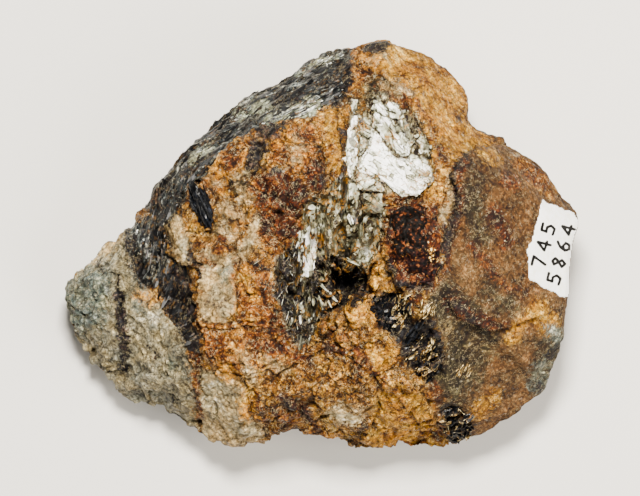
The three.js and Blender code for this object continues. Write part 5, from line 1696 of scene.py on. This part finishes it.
def labelMaterial():
    material, tree = newMaterial("white enamel, brushed on, with pen ink")
    place = addNode(tree, "TexCoord", {}).outputs["Object"]
    noise = addNode(tree, "TexNoise", {"Scale": perMm(1.1), "Detail": 5, "Roughness": 0.7, "Vector": place})
    share = addNode(tree, "MapRange", {"From Min": 0.45, "From Max": 0.7, "Value": noise})
    paint = addNode(tree, "Mix", {"data_type": "RGBA", 0: share, 6: linear(labelLook["paint"]),
                                  7: linear(labelLook["yellowed"])}).outputs[2]
    pen = addNode(tree, "Attribute", {"attribute_name": "ink"}).outputs["Fac"]
    inkShare = addNode(tree, "MapRange", {"From Min": 0.06, "From Max": 0.12,
                                          "Value": weighted(tree, pen, ((noise, 0.25),))})
    colour = addNode(tree, "Mix", {"data_type": "RGBA", 0: inkShare, 6: paint,
                                   7: linear(labelLook["ink"])}).outputs[2]
    bump = addNode(tree, "Bump", {"Strength": 0.3, "Distance": 0.1 * mm, "Height": noise})
    shader = addNode(tree, "BsdfPrincipled", {"Roughness": 0.6, "IOR": 1.5, "Specular IOR Level": 0.1,
                                              "Base Color": colour, "Normal": bump})
    addNode(tree, "OutputMaterial", {"Surface": shader})
    return material


buildLabel().data.materials.append(labelMaterial())


# Floor, lights and camera

studio = {"floor": "#dcdad5", "light": "#fff8ec", "keyWatts": 19, "fillWatts": 7, "skyStrength": 0.2,
          "cameraHeight": 2.2, "frameWidth": 128}

floorMesh = bpy.data.meshes.new("floor")
floorMesh.from_pydata([(-1.5, -1.5, 0), (1.5, -1.5, 0), (1.5, 1.5, 0), (-1.5, 1.5, 0)], [], [(0, 1, 2, 3)])
floor = newPiece("floor", floorMesh, None)
floorMaterial, floorTree = newMaterial("floor")
floorShader = addNode(floorTree, "BsdfPrincipled", {"Base Color": linear(studio["floor"]), "Roughness": 0.9})
addNode(floorTree, "OutputMaterial", {"Surface": floorShader})
floor.data.materials.append(floorMaterial)

for name, place, size, watts in (("key", (0, 0.25, 0.66), 0.14, studio["keyWatts"]),
                                 ("fill", (0.42, -0.24, 0.4), 0.5, studio["fillWatts"])):
    lamp = bpy.data.lights.new(name, "AREA")
    lamp.energy = watts
    lamp.color = linear(studio["light"])[:3]
    lamp.size = size
    lampObject = bpy.data.objects.new(name, lamp)
    lampObject.location = place
    lampObject.rotation_euler = (Vector((0, 0, 0.02)) - Vector(place)).to_track_quat("-Z", "Y").to_euler()
    bpy.context.scene.collection.objects.link(lampObject)

world = bpy.data.worlds.new("studio")
world.use_nodes = True
world.node_tree.nodes["Background"].inputs["Color"].default_value = (1, 1, 1, 1)
world.node_tree.nodes["Background"].inputs["Strength"].default_value = studio["skyStrength"]
bpy.context.scene.world = world

camera = bpy.data.cameras.new("camera")
cameraObject = bpy.data.objects.new("camera", camera)
aim = Vector((-0.1 * mm, -0.4 * mm, 24 * mm))
cameraObject.location = aim + Vector((0, 0, studio["cameraHeight"]))
camera.lens = camera.sensor_width * studio["cameraHeight"] / (studio["frameWidth"] * mm)
bpy.context.scene.collection.objects.link(cameraObject)
bpy.context.scene.camera = cameraObject
